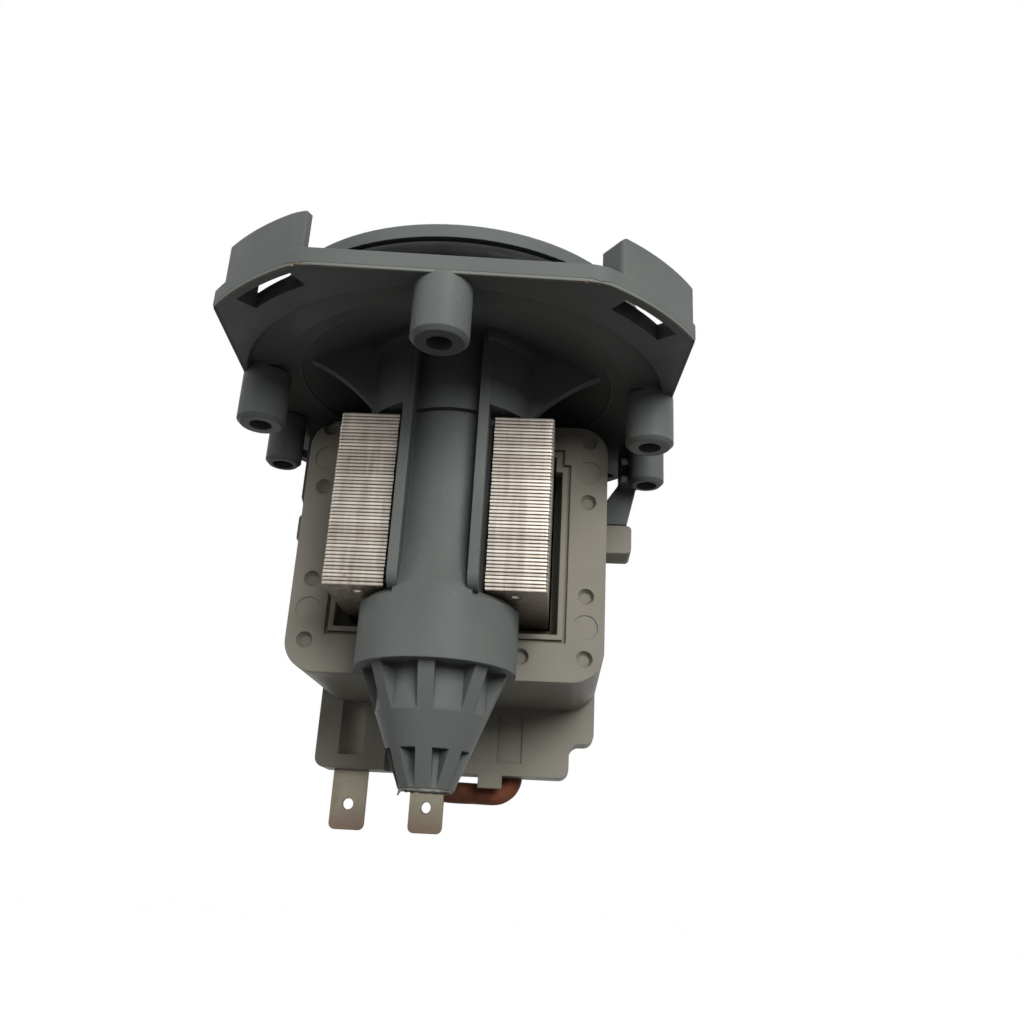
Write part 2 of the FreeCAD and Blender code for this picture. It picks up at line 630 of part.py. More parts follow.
def arm_outline(inset):
    """Prism of one pole arm's front end, drawn in by an inset on its front and outer side."""
    outer = ARM_OUTER_X - inset
    block = box(ARM_INNER_X, outer, ARM_FRONT_Y + inset, BOX_FRONT_Y, CORE_BOTTOM, CORE_TOP)
    corner = [Vec(outer, ARM_FRONT_Y + inset, 0)]
    return block.makeChamfer(ARM_CORNER_CHAMFER, edges_on(block, corner, Vec(0, 0, 1)))


def seams():
    """Fine grooves between the sheets, on the front and outer side of both arms."""
    reach = ARM_OUTER_X + OVER
    cutters = []
    keep = arm_outline(SEAM_DEPTH)
    for index in range(1, SHEETS):
        z = CORE_BOTTOM + index * SHEET_PITCH
        slice_box = box(ARM_INNER_X - OVER, reach, ARM_FRONT_Y - OVER, BOX_FRONT_Y,
                        z - SHEET_SEAM / 2, z + SHEET_SEAM / 2)
        inside = box(ARM_INNER_X - 2 * OVER, ARM_INNER_X, ARM_FRONT_Y + SEAM_DEPTH, BOX_FRONT_Y,
                     z - SHEET_SEAM, z + SHEET_SEAM)
        groove = slice_box.cut(keep).cut(inside)
        cutters += [groove, mirrored_x(groove)]
    return Part.makeCompound(cutters)


def stator_core():
    """U of stamped sheets: two pole arms beside the rotor tube and a yoke behind."""
    arm = arm_outline(0.0).fuse(box(ARM_INNER_X, ARM_OUTER_X, BOX_FRONT_Y - OVER, YOKE_FRONT_Y + OVER,
                                    CORE_BOTTOM, CORE_TOP))
    yoke = box(-ARM_OUTER_X, ARM_OUTER_X, YOKE_FRONT_Y, YOKE_BACK_Y, CORE_BOTTOM, CORE_TOP)
    core = yoke.fuse([arm, mirrored_x(arm)])
    core = core.cut(disc(POLE_BORE_R, CORE_BOTTOM - OVER, CORE_TOP + OVER))
    middle = (ARM_INNER_X + ARM_OUTER_X) / 2
    for side in (-middle, middle):
        dimple = disc(DIMPLE_R, CORE_BOTTOM - OVER, CORE_BOTTOM + DIMPLE_DEPTH,
                      side, ARM_FRONT_Y + DIMPLE_BACK)
        core = core.cut(dimple)
    return core.removeSplitter().cut(seams())


def window(offset, y_low, y_high):
    """Cutter of the front window's outline, grown by an offset and lower beside the arms."""
    half = ARM_OUTER_X + WINDOW_SIDE_GAP + offset
    low = CORE_BOTTOM - WINDOW_BOTTOM_GAP - offset
    high = CORE_TOP + WINDOW_TOP_GAP + offset
    narrow = ARM_OUTER_X + WINDOW_ARM_GAP + offset
    tall = box(-narrow, narrow, y_low, y_high, low, high)
    return tall.fuse(box(-half, half, y_low, y_high, low, high - WINDOW_SHOULDER))


def face_marks():
    """Ejector dimples and shallow pin circles on the box's front face."""
    marks = []

    def mark(x, z, radius, depth):
        start = Vec(x, BOX_FRONT_Y - OVER, z)
        marks.append(Part.makeCylinder(radius, OVER + depth, start, Vec(0, 1, 0)))

    for side, rise in ((-MARK_COLUMN_X, LEFT_MARKS_RISE), (MARK_COLUMN_X, 0.0)):
        for drop in EJECTOR_DROPS:
            mark(side, BOX_TOP + rise - drop, EJECTOR_R, EJECTOR_DEPTH)
        for drop in PIN_MARK_DROPS:
            mark(side, BOX_TOP + rise - drop, PIN_MARK_R, PIN_MARK_DEPTH)
        low_x = math.copysign(LOW_EJECTOR_X, side)
        mark(low_x, BOX_TOP - EJECTOR_DROPS[-1], EJECTOR_R, EJECTOR_DEPTH)
    return marks


def skirt():
    """Terminal block under the back of the box, with a gap, a flute, a panel and a tongue."""
    left = -BOX_HALF_X + SKIRT_SIDE_INSET
    right = BOX_HALF_X - SKIRT_SIDE_INSET
    step_z = BOX_BOTTOM - RIGHT_STEP_DROP
    step_x = right - RIGHT_STEP_IN
    top = BOX_BOTTOM + BOX_CORNER_R
    outline = [(left, top), (right, top), (right, step_z), (step_x, step_z),
               (step_x, SKIRT_BOTTOM), (left, SKIRT_BOTTOM)]
    block = prism_y(outline, SKIRT_FRONT_Y, BOX_BACK_Y + COVER_THICK)
    rounded = [Vec(x, 0, z) for x, z in outline[2:]]
    block = block.makeFillet(SKIRT_ROUND, edges_on(block, rounded, Vec(0, 1, 0)))
    gap_left = left + LEFT_BLOCK_WIDTH
    gap = box(gap_left, gap_left + BLOCK_GAP, SKIRT_FRONT_Y - OVER, SKIRT_FRONT_Y + BLOCK_GAP_DEPTH,
              SKIRT_BOTTOM - OVER, BOX_BOTTOM)
    flute_z = SKIRT_BOTTOM + FLUTE_RISE
    flute_axis = SKIRT_FRONT_Y + FLUTE_DEPTH - FLUTE_R
    flute = Part.makeCylinder(FLUTE_R, BOX_BOTTOM - flute_z, Vec(LEFT_TAB_X, flute_axis, flute_z))
    panel_x = step_x - PANEL_FROM_STEP
    panel = box(panel_x - PANEL_HALF, panel_x + PANEL_HALF, SKIRT_FRONT_Y - OVER,
                SKIRT_FRONT_Y + PANEL_DEPTH, SKIRT_BOTTOM + PANEL_BOTTOM_RISE, BOX_BOTTOM - PANEL_TOP_DROP)
    tongue = box(TONGUE_X - TONGUE_HALF, TONGUE_X + TONGUE_HALF, SKIRT_FRONT_Y,
                 SKIRT_FRONT_Y + TONGUE_THICK, SKIRT_BOTTOM - TONGUE_DROP, SKIRT_BOTTOM + MERGE)
    return block.fuse(tongue).cut([gap, flute, panel])


def lug(reach):
    """Rounded lug on the box's side, under the latch arm's nose."""
    top = BOX_TOP - LUG_TOP_DROP
    block = box(BOX_HALF_X - MERGE, BOX_HALF_X + reach, LUG_Y - LUG_HALF_Y, LUG_Y + LUG_HALF_Y,
                top - LUG_HEIGHT, top)
    ends = [Vec(BOX_HALF_X + reach, 0, z) for z in (top, top - LUG_HEIGHT)]
    return block.makeFillet(LUG_ROUND, edges_on(block, ends, Vec(0, 1, 0)))


def tab_place(x):
    """Placement of a terminal: its middle line and how far it is turned."""
    turn = RIGHT_TAB_TURN if x == RIGHT_TAB_X else 0.0
    return FreeCAD.Placement(Vec(x, TAB_Y, SKIRT_BOTTOM), FreeCAD.Rotation(Vec(0, 0, 1), turn))


def tab_root(gap):
    """Part of a terminal that sits in the skirt, grown by a gap all round."""
    half = TAB_ROOT_WIDTH / 2 + gap
    return box(-half, half, -TAB_THICK / 2 - gap, TAB_THICK / 2 + gap, -gap, TAB_ROOT + gap)


def terminal_tab(x):
    """Flat push-on terminal with a chamfered end and a latching hole."""
    half = TAB_WIDTH / 2
    blade = prism_y([(-half, 0.0), (half, 0.0), (half, TAB_CHAMFER - TAB_REACH),
                     (half - TAB_CHAMFER, -TAB_REACH), (TAB_CHAMFER - half, -TAB_REACH),
                     (-half, TAB_CHAMFER - TAB_REACH)], -TAB_THICK / 2, TAB_THICK / 2)
    hole_z = TAB_HOLE_RISE - TAB_REACH
    hole = Part.makeCylinder(TAB_HOLE_R, 2 * TAB_THICK, Vec(0, -TAB_THICK, hole_z), Vec(0, 1, 0))
    tab = blade.fuse(tab_root(0.0)).cut(hole).removeSplitter()
    tab.Placement = tab_place(x)
    return tab


def lead_path(end_z):
    """Centre line of the lead: down, across under the skirt and up again."""
    low = SKIRT_BOTTOM - LEAD_DROP
    turn = LEAD_BEND_R
    slant = turn * math.sqrt(0.5)
    left, right = LEAD_LEFT_X, LEAD_RIGHT_X

    def at(x, z):
        return Vec(x, LEAD_Y, z)

    down = Part.LineSegment(at(left, end_z), at(left, low + turn))
    first = Part.Arc(at(left, low + turn), at(left + turn - slant, low + turn - slant), at(left + turn, low))
    across = Part.LineSegment(at(left + turn, low), at(right - turn, low))
    second = Part.Arc(at(right - turn, low), at(right - turn + slant, low + turn - slant),
                      at(right, low + turn))
    up = Part.LineSegment(at(right, low + turn), at(right, end_z))
    return Part.Wire([piece.toShape() for piece in (down, first, across, second, up)])


def lead_shape(radius, end_z):
    """Round tube along the lead's centre line."""
    start = Vec(LEAD_LEFT_X, LEAD_Y, end_z)
    section = Part.Wire([Part.makeCircle(radius, start, Vec(0, 0, 1))])
    return lead_path(end_z).makePipeShell([section], True, False)


def lead_loop():
    """Sleeved winding lead that dips below the skirt and goes back up."""
    return lead_shape(LEAD_D / 2, SKIRT_BOTTOM + LEAD_ROOT)


def coil_housing():
    """Box round both coils, open behind, with its window, marks, skirt and lugs."""
    outer = round_box_y(BOX_HALF_X, BOX_BOTTOM, BOX_TOP, BOX_CORNER_R, BOX_FRONT_Y, BOX_BACK_Y)
    shape = outer.fuse([skirt(), lug(RIGHT_LUG_REACH), mirrored_x(lug(LEFT_LUG_REACH))])
    cavity = round_box_y(BOX_HALF_X - BOX_WALL, BOX_BOTTOM + BOX_WALL, BOX_TOP - BOX_WALL,
                         BOX_CORNER_R - BOX_WALL, BOX_FRONT_Y + BOX_WALL, BOX_BACK_Y + COVER_THICK + OVER)
    rim = window(RIM_OFFSET + RIM_GROOVE, BOX_FRONT_Y - OVER, BOX_FRONT_Y + RIM_GROOVE_DEPTH)
    rim = rim.cut(window(RIM_OFFSET, BOX_FRONT_Y - OVER, BOX_FRONT_Y + OVER))
    roots = []
    for x in (LEFT_TAB_X, RIGHT_TAB_X):
        root = tab_root(SEAT_GAP)
        root.Placement = tab_place(x)
        roots.append(root)
    lead_holes = [disc(LEAD_D / 2 + SEAT_GAP, SKIRT_BOTTOM - OVER, SKIRT_BOTTOM + LEAD_ROOT, x, LEAD_Y)
                  for x in (LEAD_LEFT_X, LEAD_RIGHT_X)]
    cover_seat = cover_outline(SEAT_GAP, BOX_BACK_Y, BOX_BACK_Y + COVER_THICK + OVER)
    opening = window(0.0, BOX_FRONT_Y - OVER, BOX_FRONT_Y + 2 * BOX_WALL)
    notches = [disc(COLLAR_R + BOX_TUBE_GAP, STEP_Z - BOX_TUBE_GAP, BOX_TOP + OVER),
               disc(CUP_R + BOX_TUBE_GAP, CUP_BOTTOM - OVER, CUP_TOP + OVER)]
    cutters = [cavity, opening, rim, cover_seat] + notches + face_marks() + roots + lead_holes
    return shape.cut(cutters).removeSplitter()


def cover_outline(grow, y_low, y_high):
    """Outline of the rear cover as a slab, grown by a gap."""
    return round_box_y(BOX_HALF_X + grow, BOX_BOTTOM - grow, BOX_TOP + grow, BOX_CORNER_R, y_low, y_high)


def coil_rear_cover():
    """Lid of the coil box with a plug that enters the box, a pad behind the yoke and ribs outside."""
    lid = cover_outline(0.0, BOX_BACK_Y, BOX_BACK_Y + COVER_THICK)
    inset = BOX_WALL + SEAT_GAP
    plug = round_box_y(BOX_HALF_X - inset, BOX_BOTTOM + inset, BOX_TOP - inset,
                       BOX_CORNER_R - inset, BOX_BACK_Y - COVER_PLUG, BOX_BACK_Y)
    middle = (CORE_TOP + CORE_BOTTOM) / 2
    pad = box(-COVER_PAD_HALF_X, COVER_PAD_HALF_X, YOKE_BACK_Y + COVER_PAD_GAP, BOX_BACK_Y,
              middle - COVER_PAD_HALF_Z, middle + COVER_PAD_HALF_Z)
    cover = lid.fuse([plug, pad])
    back = BOX_BACK_Y + COVER_THICK
    for index in range(COVER_RIB_COUNT):
        x = (index - (COVER_RIB_COUNT - 1) / 2) * COVER_RIB_PITCH
        groove = box(x - COVER_RIB_WIDTH / 2, x + COVER_RIB_WIDTH / 2, back - COVER_RIB_HEIGHT, back + OVER,
                     BOX_BOTTOM + COVER_RIB_INSET, BOX_TOP - COVER_RIB_INSET)
        cover = cover.cut(groove)
    return cover.removeSplitter()


def sleeve(grow_in, grow_out, y_low, y_high, rounding):
    """Square tube round the right-hand leg, between two distances from the leg's faces."""
    def block(grow):
        return box(ARM_INNER_X - grow, ARM_OUTER_X + grow, y_low, y_high,
                   CORE_BOTTOM - grow, CORE_TOP + grow)

    outer = block(grow_out)
    if rounding:
        corners = [Vec(x, 0, z) for x in (ARM_INNER_X - grow_out, ARM_OUTER_X + grow_out)
                   for z in (CORE_BOTTOM - grow_out, CORE_TOP + grow_out)]
        outer = outer.makeFillet(rounding, edges_on(outer, corners, Vec(0, 1, 0)))
    hole = box(ARM_INNER_X - grow_in, ARM_OUTER_X + grow_in, y_low - OVER, y_high + OVER,
               CORE_BOTTOM - grow_in, CORE_TOP + grow_in)
    return outer.cut(hole)


def bobbin():
    """Coil former on the right-hand leg, with a flange at each end."""
    body = sleeve(BOBBIN_GAP, BOBBIN_OUT, BOBBIN_FRONT, BOBBIN_BACK, 0)
    front = sleeve(BOBBIN_GAP, COIL_REACH, BOBBIN_FRONT, BOBBIN_FRONT + BOBBIN_FLANGE, WINDING_CORNER)
    back = sleeve(BOBBIN_GAP, COIL_REACH, BOBBIN_BACK - BOBBIN_FLANGE, BOBBIN_BACK, WINDING_CORNER)
    return body.fuse([front, back]).removeSplitter()


def winding():
    """Enamelled copper coil between the flanges of the right-hand bobbin."""
    return sleeve(BOBBIN_OUT + SEAT_GAP, BOBBIN_OUT + WINDING_DEPTH,
                  BOBBIN_FRONT + BOBBIN_FLANGE + WINDING_SIDE_GAP,
                  BOBBIN_BACK - BOBBIN_FLANGE - WINDING_SIDE_GAP, WINDING_CORNER)


def shaft():
    """Rotor shaft from the rear bush up into the drive dog."""
    low = REAR_SEAT - BUSH_LENGTH
    pin = disc(SHAFT_R, low, SHAFT_TOP)
    return pin.makeChamfer(SHAFT_CHAMFER, [e for e in pin.Edges if e.Closed])


def magnet_carrier():
    """Moulded sleeve between the shaft and the magnet, with a collar at each end."""
    hub = ring(CARRIER_R, SHAFT_R, CARRIER_BOTTOM, CARRIER_TOP)
    collars = [ring(MAGNET_R - MAGNET_EDGE, SHAFT_R, low, low + CARRIER_END - SEAT_GAP)
               for low in (CARRIER_BOTTOM, CARRIER_TOP - CARRIER_END + SEAT_GAP)]
    return hub.fuse(collars).removeSplitter()


def rotor_magnet():
    """Two-pole ferrite cylinder."""
    low = CARRIER_BOTTOM + CARRIER_END
    high = CARRIER_TOP - CARRIER_END
    body = ring(MAGNET_R, CARRIER_R + SEAT_GAP, low, high)
    return body.makeChamfer(MAGNET_EDGE, rims_wide(body, MAGNET_R))


def thrust_washer(low):
    """Loose washer between the rotor and a bush."""
    return ring(WASHER_R, SHAFT_R + RUN_GAP, low, low + WASHER_THICK)


def bush(low):
    """Sintered bearing bush with softened outer edges."""
    body = ring(BUSH_R, SHAFT_R + RUN_GAP, low, low + BUSH_LENGTH)
    return body.makeChamfer(BUSH_EDGE, rims_wide(body, BUSH_R))


def rear_bush_rubber():
    """Soft cup that holds the rear bush in the end of the well."""
    body = disc(RUBBER_R, RUBBER_BOTTOM + SEAT_GAP, REAR_SEAT)
    lip = disc(RUBBER_LIP_R, REAR_SEAT - RUBBER_LIP + SEAT_GAP, REAR_SEAT)
    pocket = disc(BUSH_R + SEAT_GAP, REAR_SEAT - BUSH_LENGTH, REAR_SEAT + OVER)
    return body.fuse(lip).cut(pocket).removeSplitter()


def bearing_cap():
    """Plug that closes the socket and carries the front bush; its seal sits in a groove."""
    body = disc(SOCKET_BORE_R - SEAT_GAP, CAP_BOTTOM, DISH_FACE)
    head = disc(CAP_FLANGE_R, DISH_FACE, CAP_TOP)
    head = head.makeChamfer(CAP_EDGE, rims_at(head, CAP_TOP))
    half = CAP_SEAL_D / 2 + CAP_SEAL_SLACK
    middle = DISH_FACE - CAP_SEAL_DEPTH
    groove = ring(SOCKET_BORE_R + OVER, SOCKET_BORE_R - CAP_SEAL_D, middle - half, middle + half)
    pocket = disc(BUSH_R + SEAT_GAP, CAP_BOTTOM - OVER, CAP_BOTTOM + BUSH_LENGTH)
    passage = disc(DOG_NECK_R + FREE_GAP, CAP_BOTTOM, CAP_TOP + OVER)
    return body.fuse(head).cut([groove, pocket, passage]).removeSplitter()


def cap_o_ring():
    """Seal round the bearing cap."""
    cord = CAP_SEAL_D - 2 * SEAT_GAP
    return cord_ring(SOCKET_BORE_R - SEAT_GAP - cord, cord, DISH_FACE - CAP_SEAL_DEPTH)


def drive_dog():
    """Sleeve pressed on the shaft, with one lug that drives the impeller after some lost motion."""
    neck_low = CAP_TOP - CAP_FLANGE
    neck = ring(DOG_NECK_R, SHAFT_R, neck_low, SHAFT_TOP)
    low = CHAMBER_BOTTOM + FREE_GAP
    arm = sector(SHAFT_R, DOG_LUG_R, low, low + DOG_LUG_HEIGHT,
                 DOG_LUG_AZIMUTH - DOG_LUG_SWEEP / 2, DOG_LUG_SWEEP)
    return neck.fuse(arm).removeSplitter()


def impeller():
    """Hub with a coupling chamber and six straight blades."""
    high = HUB_TOP
    hub = disc(HUB_R, HUB_BOTTOM, high)
    dish_slope = DISH_RISE / (DISH_R - COLLAR_R)
    root = HUB_R - BLADE_ROOT
    tip_low = HUB_BOTTOM - dish_slope * (BLADE_R - CAP_FLANGE_R)
    top = HUB_BOTTOM + BLADE_HEIGHT
    outline = [(root, HUB_BOTTOM), (CAP_FLANGE_R, HUB_BOTTOM), (BLADE_R, tip_low),
               (BLADE_R, top - BLADE_RAKE - BLADE_TIP_CHAMFER),
               (BLADE_R - BLADE_TIP_CHAMFER, top - BLADE_RAKE), (root, top)]
    blade = prism_y(outline, -BLADE_THICK / 2, BLADE_THICK / 2)
    wheel = hub.fuse([about_axis(blade, index * 360 / BLADES) for index in range(BLADES)])
    chamber = disc(HUB_INNER_R, CHAMBER_BOTTOM, high + OVER)
    neck_hole = disc(DOG_NECK_R + RUN_GAP, HUB_BOTTOM - OVER, CHAMBER_BOTTOM + OVER)
    cap_seat = disc(HUB_R - HUB_WALL / 2, CAP_UNDERSIDE, high + BLADE_HEIGHT)
    wheel = wheel.cut([chamber, neck_hole, cap_seat])
    stop = sector(DOG_NECK_R + FREE_GAP, HUB_INNER_R + MERGE, CHAMBER_BOTTOM - MERGE, CAP_UNDERSIDE,
                  HUB_LUG_AZIMUTH - HUB_LUG_SWEEP / 2, HUB_LUG_SWEEP)
    return wheel.fuse(stop).removeSplitter()


def coupling_damper():
    """Rubber pads on both faces of the impeller's stop, joined under the cap."""
    low = CHAMBER_BOTTOM
    high = CAP_UNDERSIDE - SEAT_GAP
    inner = DOG_NECK_R + FREE_GAP
    start = HUB_LUG_AZIMUTH - HUB_LUG_SWEEP / 2 - DAMPER_SWEEP
    sweep = HUB_LUG_SWEEP + 2 * DAMPER_SWEEP
    pads = sector(inner, HUB_INNER_R - SEAT_GAP, low, high, start, sweep)
    stop = sector(inner - OVER, HUB_INNER_R + OVER, low - OVER, high + OVER,
                  HUB_LUG_AZIMUTH - HUB_LUG_SWEEP / 2, HUB_LUG_SWEEP)
    return pads.cut(stop)


def impeller_cap():
    """Round lid on the impeller's hub."""
    low = CAP_UNDERSIDE
    lid = disc(HUB_R - HUB_WALL / 2 - SEAT_GAP, low, low + HUB_CAP)
    return lid.makeChamfer(HUB_CAP_EDGE, rims_at(lid, low + HUB_CAP))


def build():
    """All nodes by name."""
    coil, former = winding(), bobbin()
    return {
        "rotor_housing": rotor_housing(),
        "spigot_o_ring": spigot_o_ring(),
        "stator_core": stator_core(),
        "coil_housing": coil_housing(),
        "coil_rear_cover": coil_rear_cover(),
        "bobbin_left": mirrored_x(former),
        "bobbin_right": former,
        "winding_left": mirrored_x(coil),
        "winding_right": coil,
        "terminal_tab_left": terminal_tab(LEFT_TAB_X),
        "terminal_tab_right": terminal_tab(RIGHT_TAB_X),
        "lead_loop": lead_loop(),
        "rear_bush": bush(REAR_SEAT - BUSH_LENGTH),
        "rear_bush_rubber": rear_bush_rubber(),
        "front_bush": bush(CAP_BOTTOM),
        "bearing_cap": bearing_cap(),
        "cap_o_ring": cap_o_ring(),
        "thrust_washer_front": thrust_washer(CARRIER_TOP + WASHER_PLAY),
        "thrust_washer_rear": thrust_washer(REAR_SEAT + WASHER_PLAY),
        "shaft": shaft(),
        "magnet_carrier": magnet_carrier(),
        "rotor_magnet": rotor_magnet(),
        "drive_dog": drive_dog(),
        "impeller": impeller(),
        "coupling_damper": coupling_damper(),
        "impeller_cap": impeller_cap(),
    }


os.makedirs("parts", exist_ok=True)
for name, shape in build().items():
    shape.exportStep("parts/" + name + ".step")
    print(name, len(shape.Solids), "solid", round(shape.Volume, 1), "mm3", shape.isValid())
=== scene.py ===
"""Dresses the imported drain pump: studio, skins, the laminated pole stack, seals, coils and terminals."""

import logging
import math
from dataclasses import dataclass, field
from enum import Enum

import bmesh
import bpy
import numpy as np
from bpy.types import Material, Mesh, NodeSocket, Object
from mathutils import Matrix


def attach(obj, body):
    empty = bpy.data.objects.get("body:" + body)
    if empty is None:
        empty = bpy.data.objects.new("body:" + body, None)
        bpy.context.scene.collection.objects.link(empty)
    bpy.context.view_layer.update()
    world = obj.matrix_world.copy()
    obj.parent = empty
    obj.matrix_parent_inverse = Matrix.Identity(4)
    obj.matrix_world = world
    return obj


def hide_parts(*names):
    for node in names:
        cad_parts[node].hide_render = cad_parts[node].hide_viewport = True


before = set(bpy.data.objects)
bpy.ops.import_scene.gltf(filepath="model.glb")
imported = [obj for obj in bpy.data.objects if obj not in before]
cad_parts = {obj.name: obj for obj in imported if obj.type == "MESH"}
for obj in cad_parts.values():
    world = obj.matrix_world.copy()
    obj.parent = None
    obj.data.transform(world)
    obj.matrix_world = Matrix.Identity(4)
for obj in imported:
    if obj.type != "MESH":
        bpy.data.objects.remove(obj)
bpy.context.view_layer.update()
MM = 0.001
WHITE = (1.0, 1.0, 1.0, 1.0)
DOUBLES = 1e-6        # metres within which points of a CAD node are one
LOG = logging.getLogger("drain_pump")


class Body(Enum):
    """The bodies that a piece can ride on."""

    HOUSING = "housing"
    ROTOR = "rotor"
    IMPELLER = "impeller"


class Side(Enum):
    """Left and right, seen from the open pole arms."""

    LEFT = -1
    RIGHT = 1


def linear(red: int, green: int, blue: int) -> tuple[float, float, float, float]:
    """Turns a display colour into the linear colour that a shader takes.

    Each channel c in 0..1 becomes ((c + 0.055) / 1.055) to the power 2.4, or c / 12.92 near black.

    Args:
        red, green, blue: channels from 0 to 255.

    Returns:
        Linear red, green and blue, with full opacity.
    """
    share = np.array([red, green, blue]) / 255
    value = np.where(share > 0.04045, ((share + 0.055) / 1.055) ** 2.4, share / 12.92)
    return float(value[0]), float(value[1]), float(value[2]), 1.0


class Graph:
    """A material's node tree, with short calls to add and join its nodes."""

    def __init__(self, name: str) -> None:
        """Starts a material that holds a principled shader."""
        self.material = bpy.data.materials.new(name)
        self.material.use_nodes = True
        self.tree = self.material.node_tree
        self.shader = self.tree.nodes["Principled BSDF"]
        self.coordinates = self.tree.nodes.new("ShaderNodeTexCoord")

    def put(self, socket: NodeSocket, value: object) -> None:
        """Links a socket to another node's output, or sets its constant."""
        if isinstance(value, NodeSocket):
            self.tree.links.new(value, socket)
        else:
            socket.default_value = value

    def surface(self, **values: object) -> None:
        """Sets or links inputs of the principled shader, with _ for the blanks in their names."""
        for name, value in values.items():
            self.put(self.shader.inputs[name.replace("_", " ")], value)

    def place(self, stretch: tuple[float, float, float] = (1, 1, 1)) -> NodeSocket:
        """Object coordinates, stretched along each axis."""
        node = self.tree.nodes.new("ShaderNodeMapping")
        self.put(node.inputs["Vector"], self.coordinates.outputs["Object"])
        node.inputs["Scale"].default_value = stretch
        return node.outputs["Vector"]

    def noise(self, scale: float, detail: float = 3,
              vector: NodeSocket | None = None) -> NodeSocket:
        """Cloudy noise of about 1 / scale metres, from 0 to 1."""
        node = self.tree.nodes.new("ShaderNodeTexNoise")
        self.put(node.inputs["Vector"], vector or self.coordinates.outputs["Object"])
        node.inputs["Scale"].default_value = scale
        node.inputs["Detail"].default_value = detail
        return node.outputs["Fac"]

    def math(self, operation: str, *values: object) -> NodeSocket:
        """One calculation on up to three values."""
        node = self.tree.nodes.new("ShaderNodeMath")
        node.operation = operation
        for socket, value in zip(node.inputs, values):
            self.put(socket, value)
        return node.outputs[0]

    def span(self, value: object, low: float, high: float,
             out_low: float, out_high: float) -> NodeSocket:
        """Maps low..high to out_low..out_high and holds it there outside."""
        node = self.tree.nodes.new("ShaderNodeMapRange")
        for name, number in (("Value", value), ("From Min", low), ("From Max", high),
                             ("To Min", out_low), ("To Max", out_high)):
            self.put(node.inputs[name], number)
        return node.outputs["Result"]

    def blend(self, share: object, first: object, second: object, mode: str = "MIX") -> NodeSocket:
        """Blends two colours by a share from 0 to 1."""
        node = self.tree.nodes.new("ShaderNodeMix")
        node.data_type = "RGBA"
        node.blend_type = mode
        self.put(node.inputs[0], share)
        self.put(node.inputs[6], first)
        self.put(node.inputs[7], second)
        return node.outputs[2]

    def rounded(self, radius: float) -> NodeSocket:
        """Surface normal with its edges rounded over a radius in metres."""
        node = self.tree.nodes.new("ShaderNodeBevel")
        node.samples = 4
        node.inputs["Radius"].default_value = radius
        return node.outputs["Normal"]

    def edge_mask(self, radius: float) -> NodeSocket:
        """Share that rises from 0 on flats to 1 on sharp edges: one less the rounded normal's
        dot product with the true one, spread over 0..1."""
        node = self.tree.nodes.new("ShaderNodeVectorMath")
        node.operation = "DOT_PRODUCT"
        geometry = self.tree.nodes.new("ShaderNodeNewGeometry")
        self.put(node.inputs[0], self.rounded(radius))
        self.put(node.inputs[1], geometry.outputs["Normal"])
        return self.span(node.outputs["Value"], 0.99, 0.75, 0.0, 1.0)

    def openness(self, reach: float) -> NodeSocket:
        """Share of open space round a point, within a reach in metres: 0 in deep recesses, 1 outside."""
        node = self.tree.nodes.new("ShaderNodeAmbientOcclusion")
        node.samples = 6
        node.inputs["Distance"].default_value = reach
        return node.outputs["AO"]

    def bump(self, height: NodeSocket, depth: float,
             normal: NodeSocket | None = None) -> NodeSocket:
        """Normal of a height field whose full swing is a depth in metres."""
        node = self.tree.nodes.new("ShaderNodeBump")
        node.inputs["Strength"].default_value = 1.0
        node.inputs["Distance"].default_value = depth
        self.put(node.inputs["Height"], height)
        if normal:
            self.put(node.inputs["Normal"], normal)
        return node.outputs["Normal"]


@dataclass(frozen=True)
class MouldedPlastic:
    """Satin injection-moulded plastic with faint clouds, fine grain and burnished edges, and painted shade
    that darkens its recesses.
    """

    name: str
    colour: tuple[int, int, int]
    edge: tuple[int, int, int]
    roughness: float = 0.48
    grain: float = 0.000008
    clouds: float = 0.10
    smears: float = 0.18
    specks: float = 0.2
    burnish: float = 0.3
    round_edge: float = 0.00025
    gloss: float = 0.12
    recess_gloss: float = 0.03
    painted_shade: float = 0.4
    reach: float = 0.014

    def material(self) -> Material:
        """Builds the finish.

        Returns:
            The material.
        """
        graph = Graph(self.name)
        base = linear(*self.colour)
        shade = tuple(value * (1 - 2 * self.clouds) for value in base[:3]) + (1.0,)
        cloud = graph.noise(45, 4)
        colour = graph.blend(graph.span(cloud, 0.35, 0.68, 0, 1), base, shade)
        smear = graph.span(graph.noise(30, 5, graph.place((1, 1, 0.3))), 0.5, 0.7, 0, self.smears)
        colour = graph.blend(smear, colour, linear(*(int(value * 0.82) for value in self.colour)))
        speck = graph.span(graph.noise(1700, 2), 0.68, 0.76, 0, self.specks)
        colour = graph.blend(speck, colour, linear(*self.edge))
        worn = graph.math("MULTIPLY", graph.edge_mask(0.0002), self.burnish)
        colour = graph.blend(worn, colour, linear(*self.edge))
        # Painted shade: the more closed in a point is, the more its colour is darkened towards a quarter of
        # the base, and its gloss is lowered so that recesses reflect less.
        room = graph.openness(self.reach)
        painted_shade_colour = tuple(value * 0.25 for value in base[:3]) + (1.0,)
        colour = graph.blend(graph.span(room, 0.15, 0.8, self.painted_shade, 0), colour, painted_shade_colour)
        gloss = graph.span(room, 0.35, 0.95, self.recess_gloss, self.gloss)
        rough = graph.span(graph.noise(160, 5), 0.3, 0.7, self.roughness - 0.06, self.roughness + 0.08)
        normal = graph.bump(graph.noise(3200, 2), self.grain, graph.rounded(self.round_edge))
        graph.surface(Base_Color=colour, Roughness=rough, Normal=normal, Specular_IOR_Level=gloss)
        return graph.material


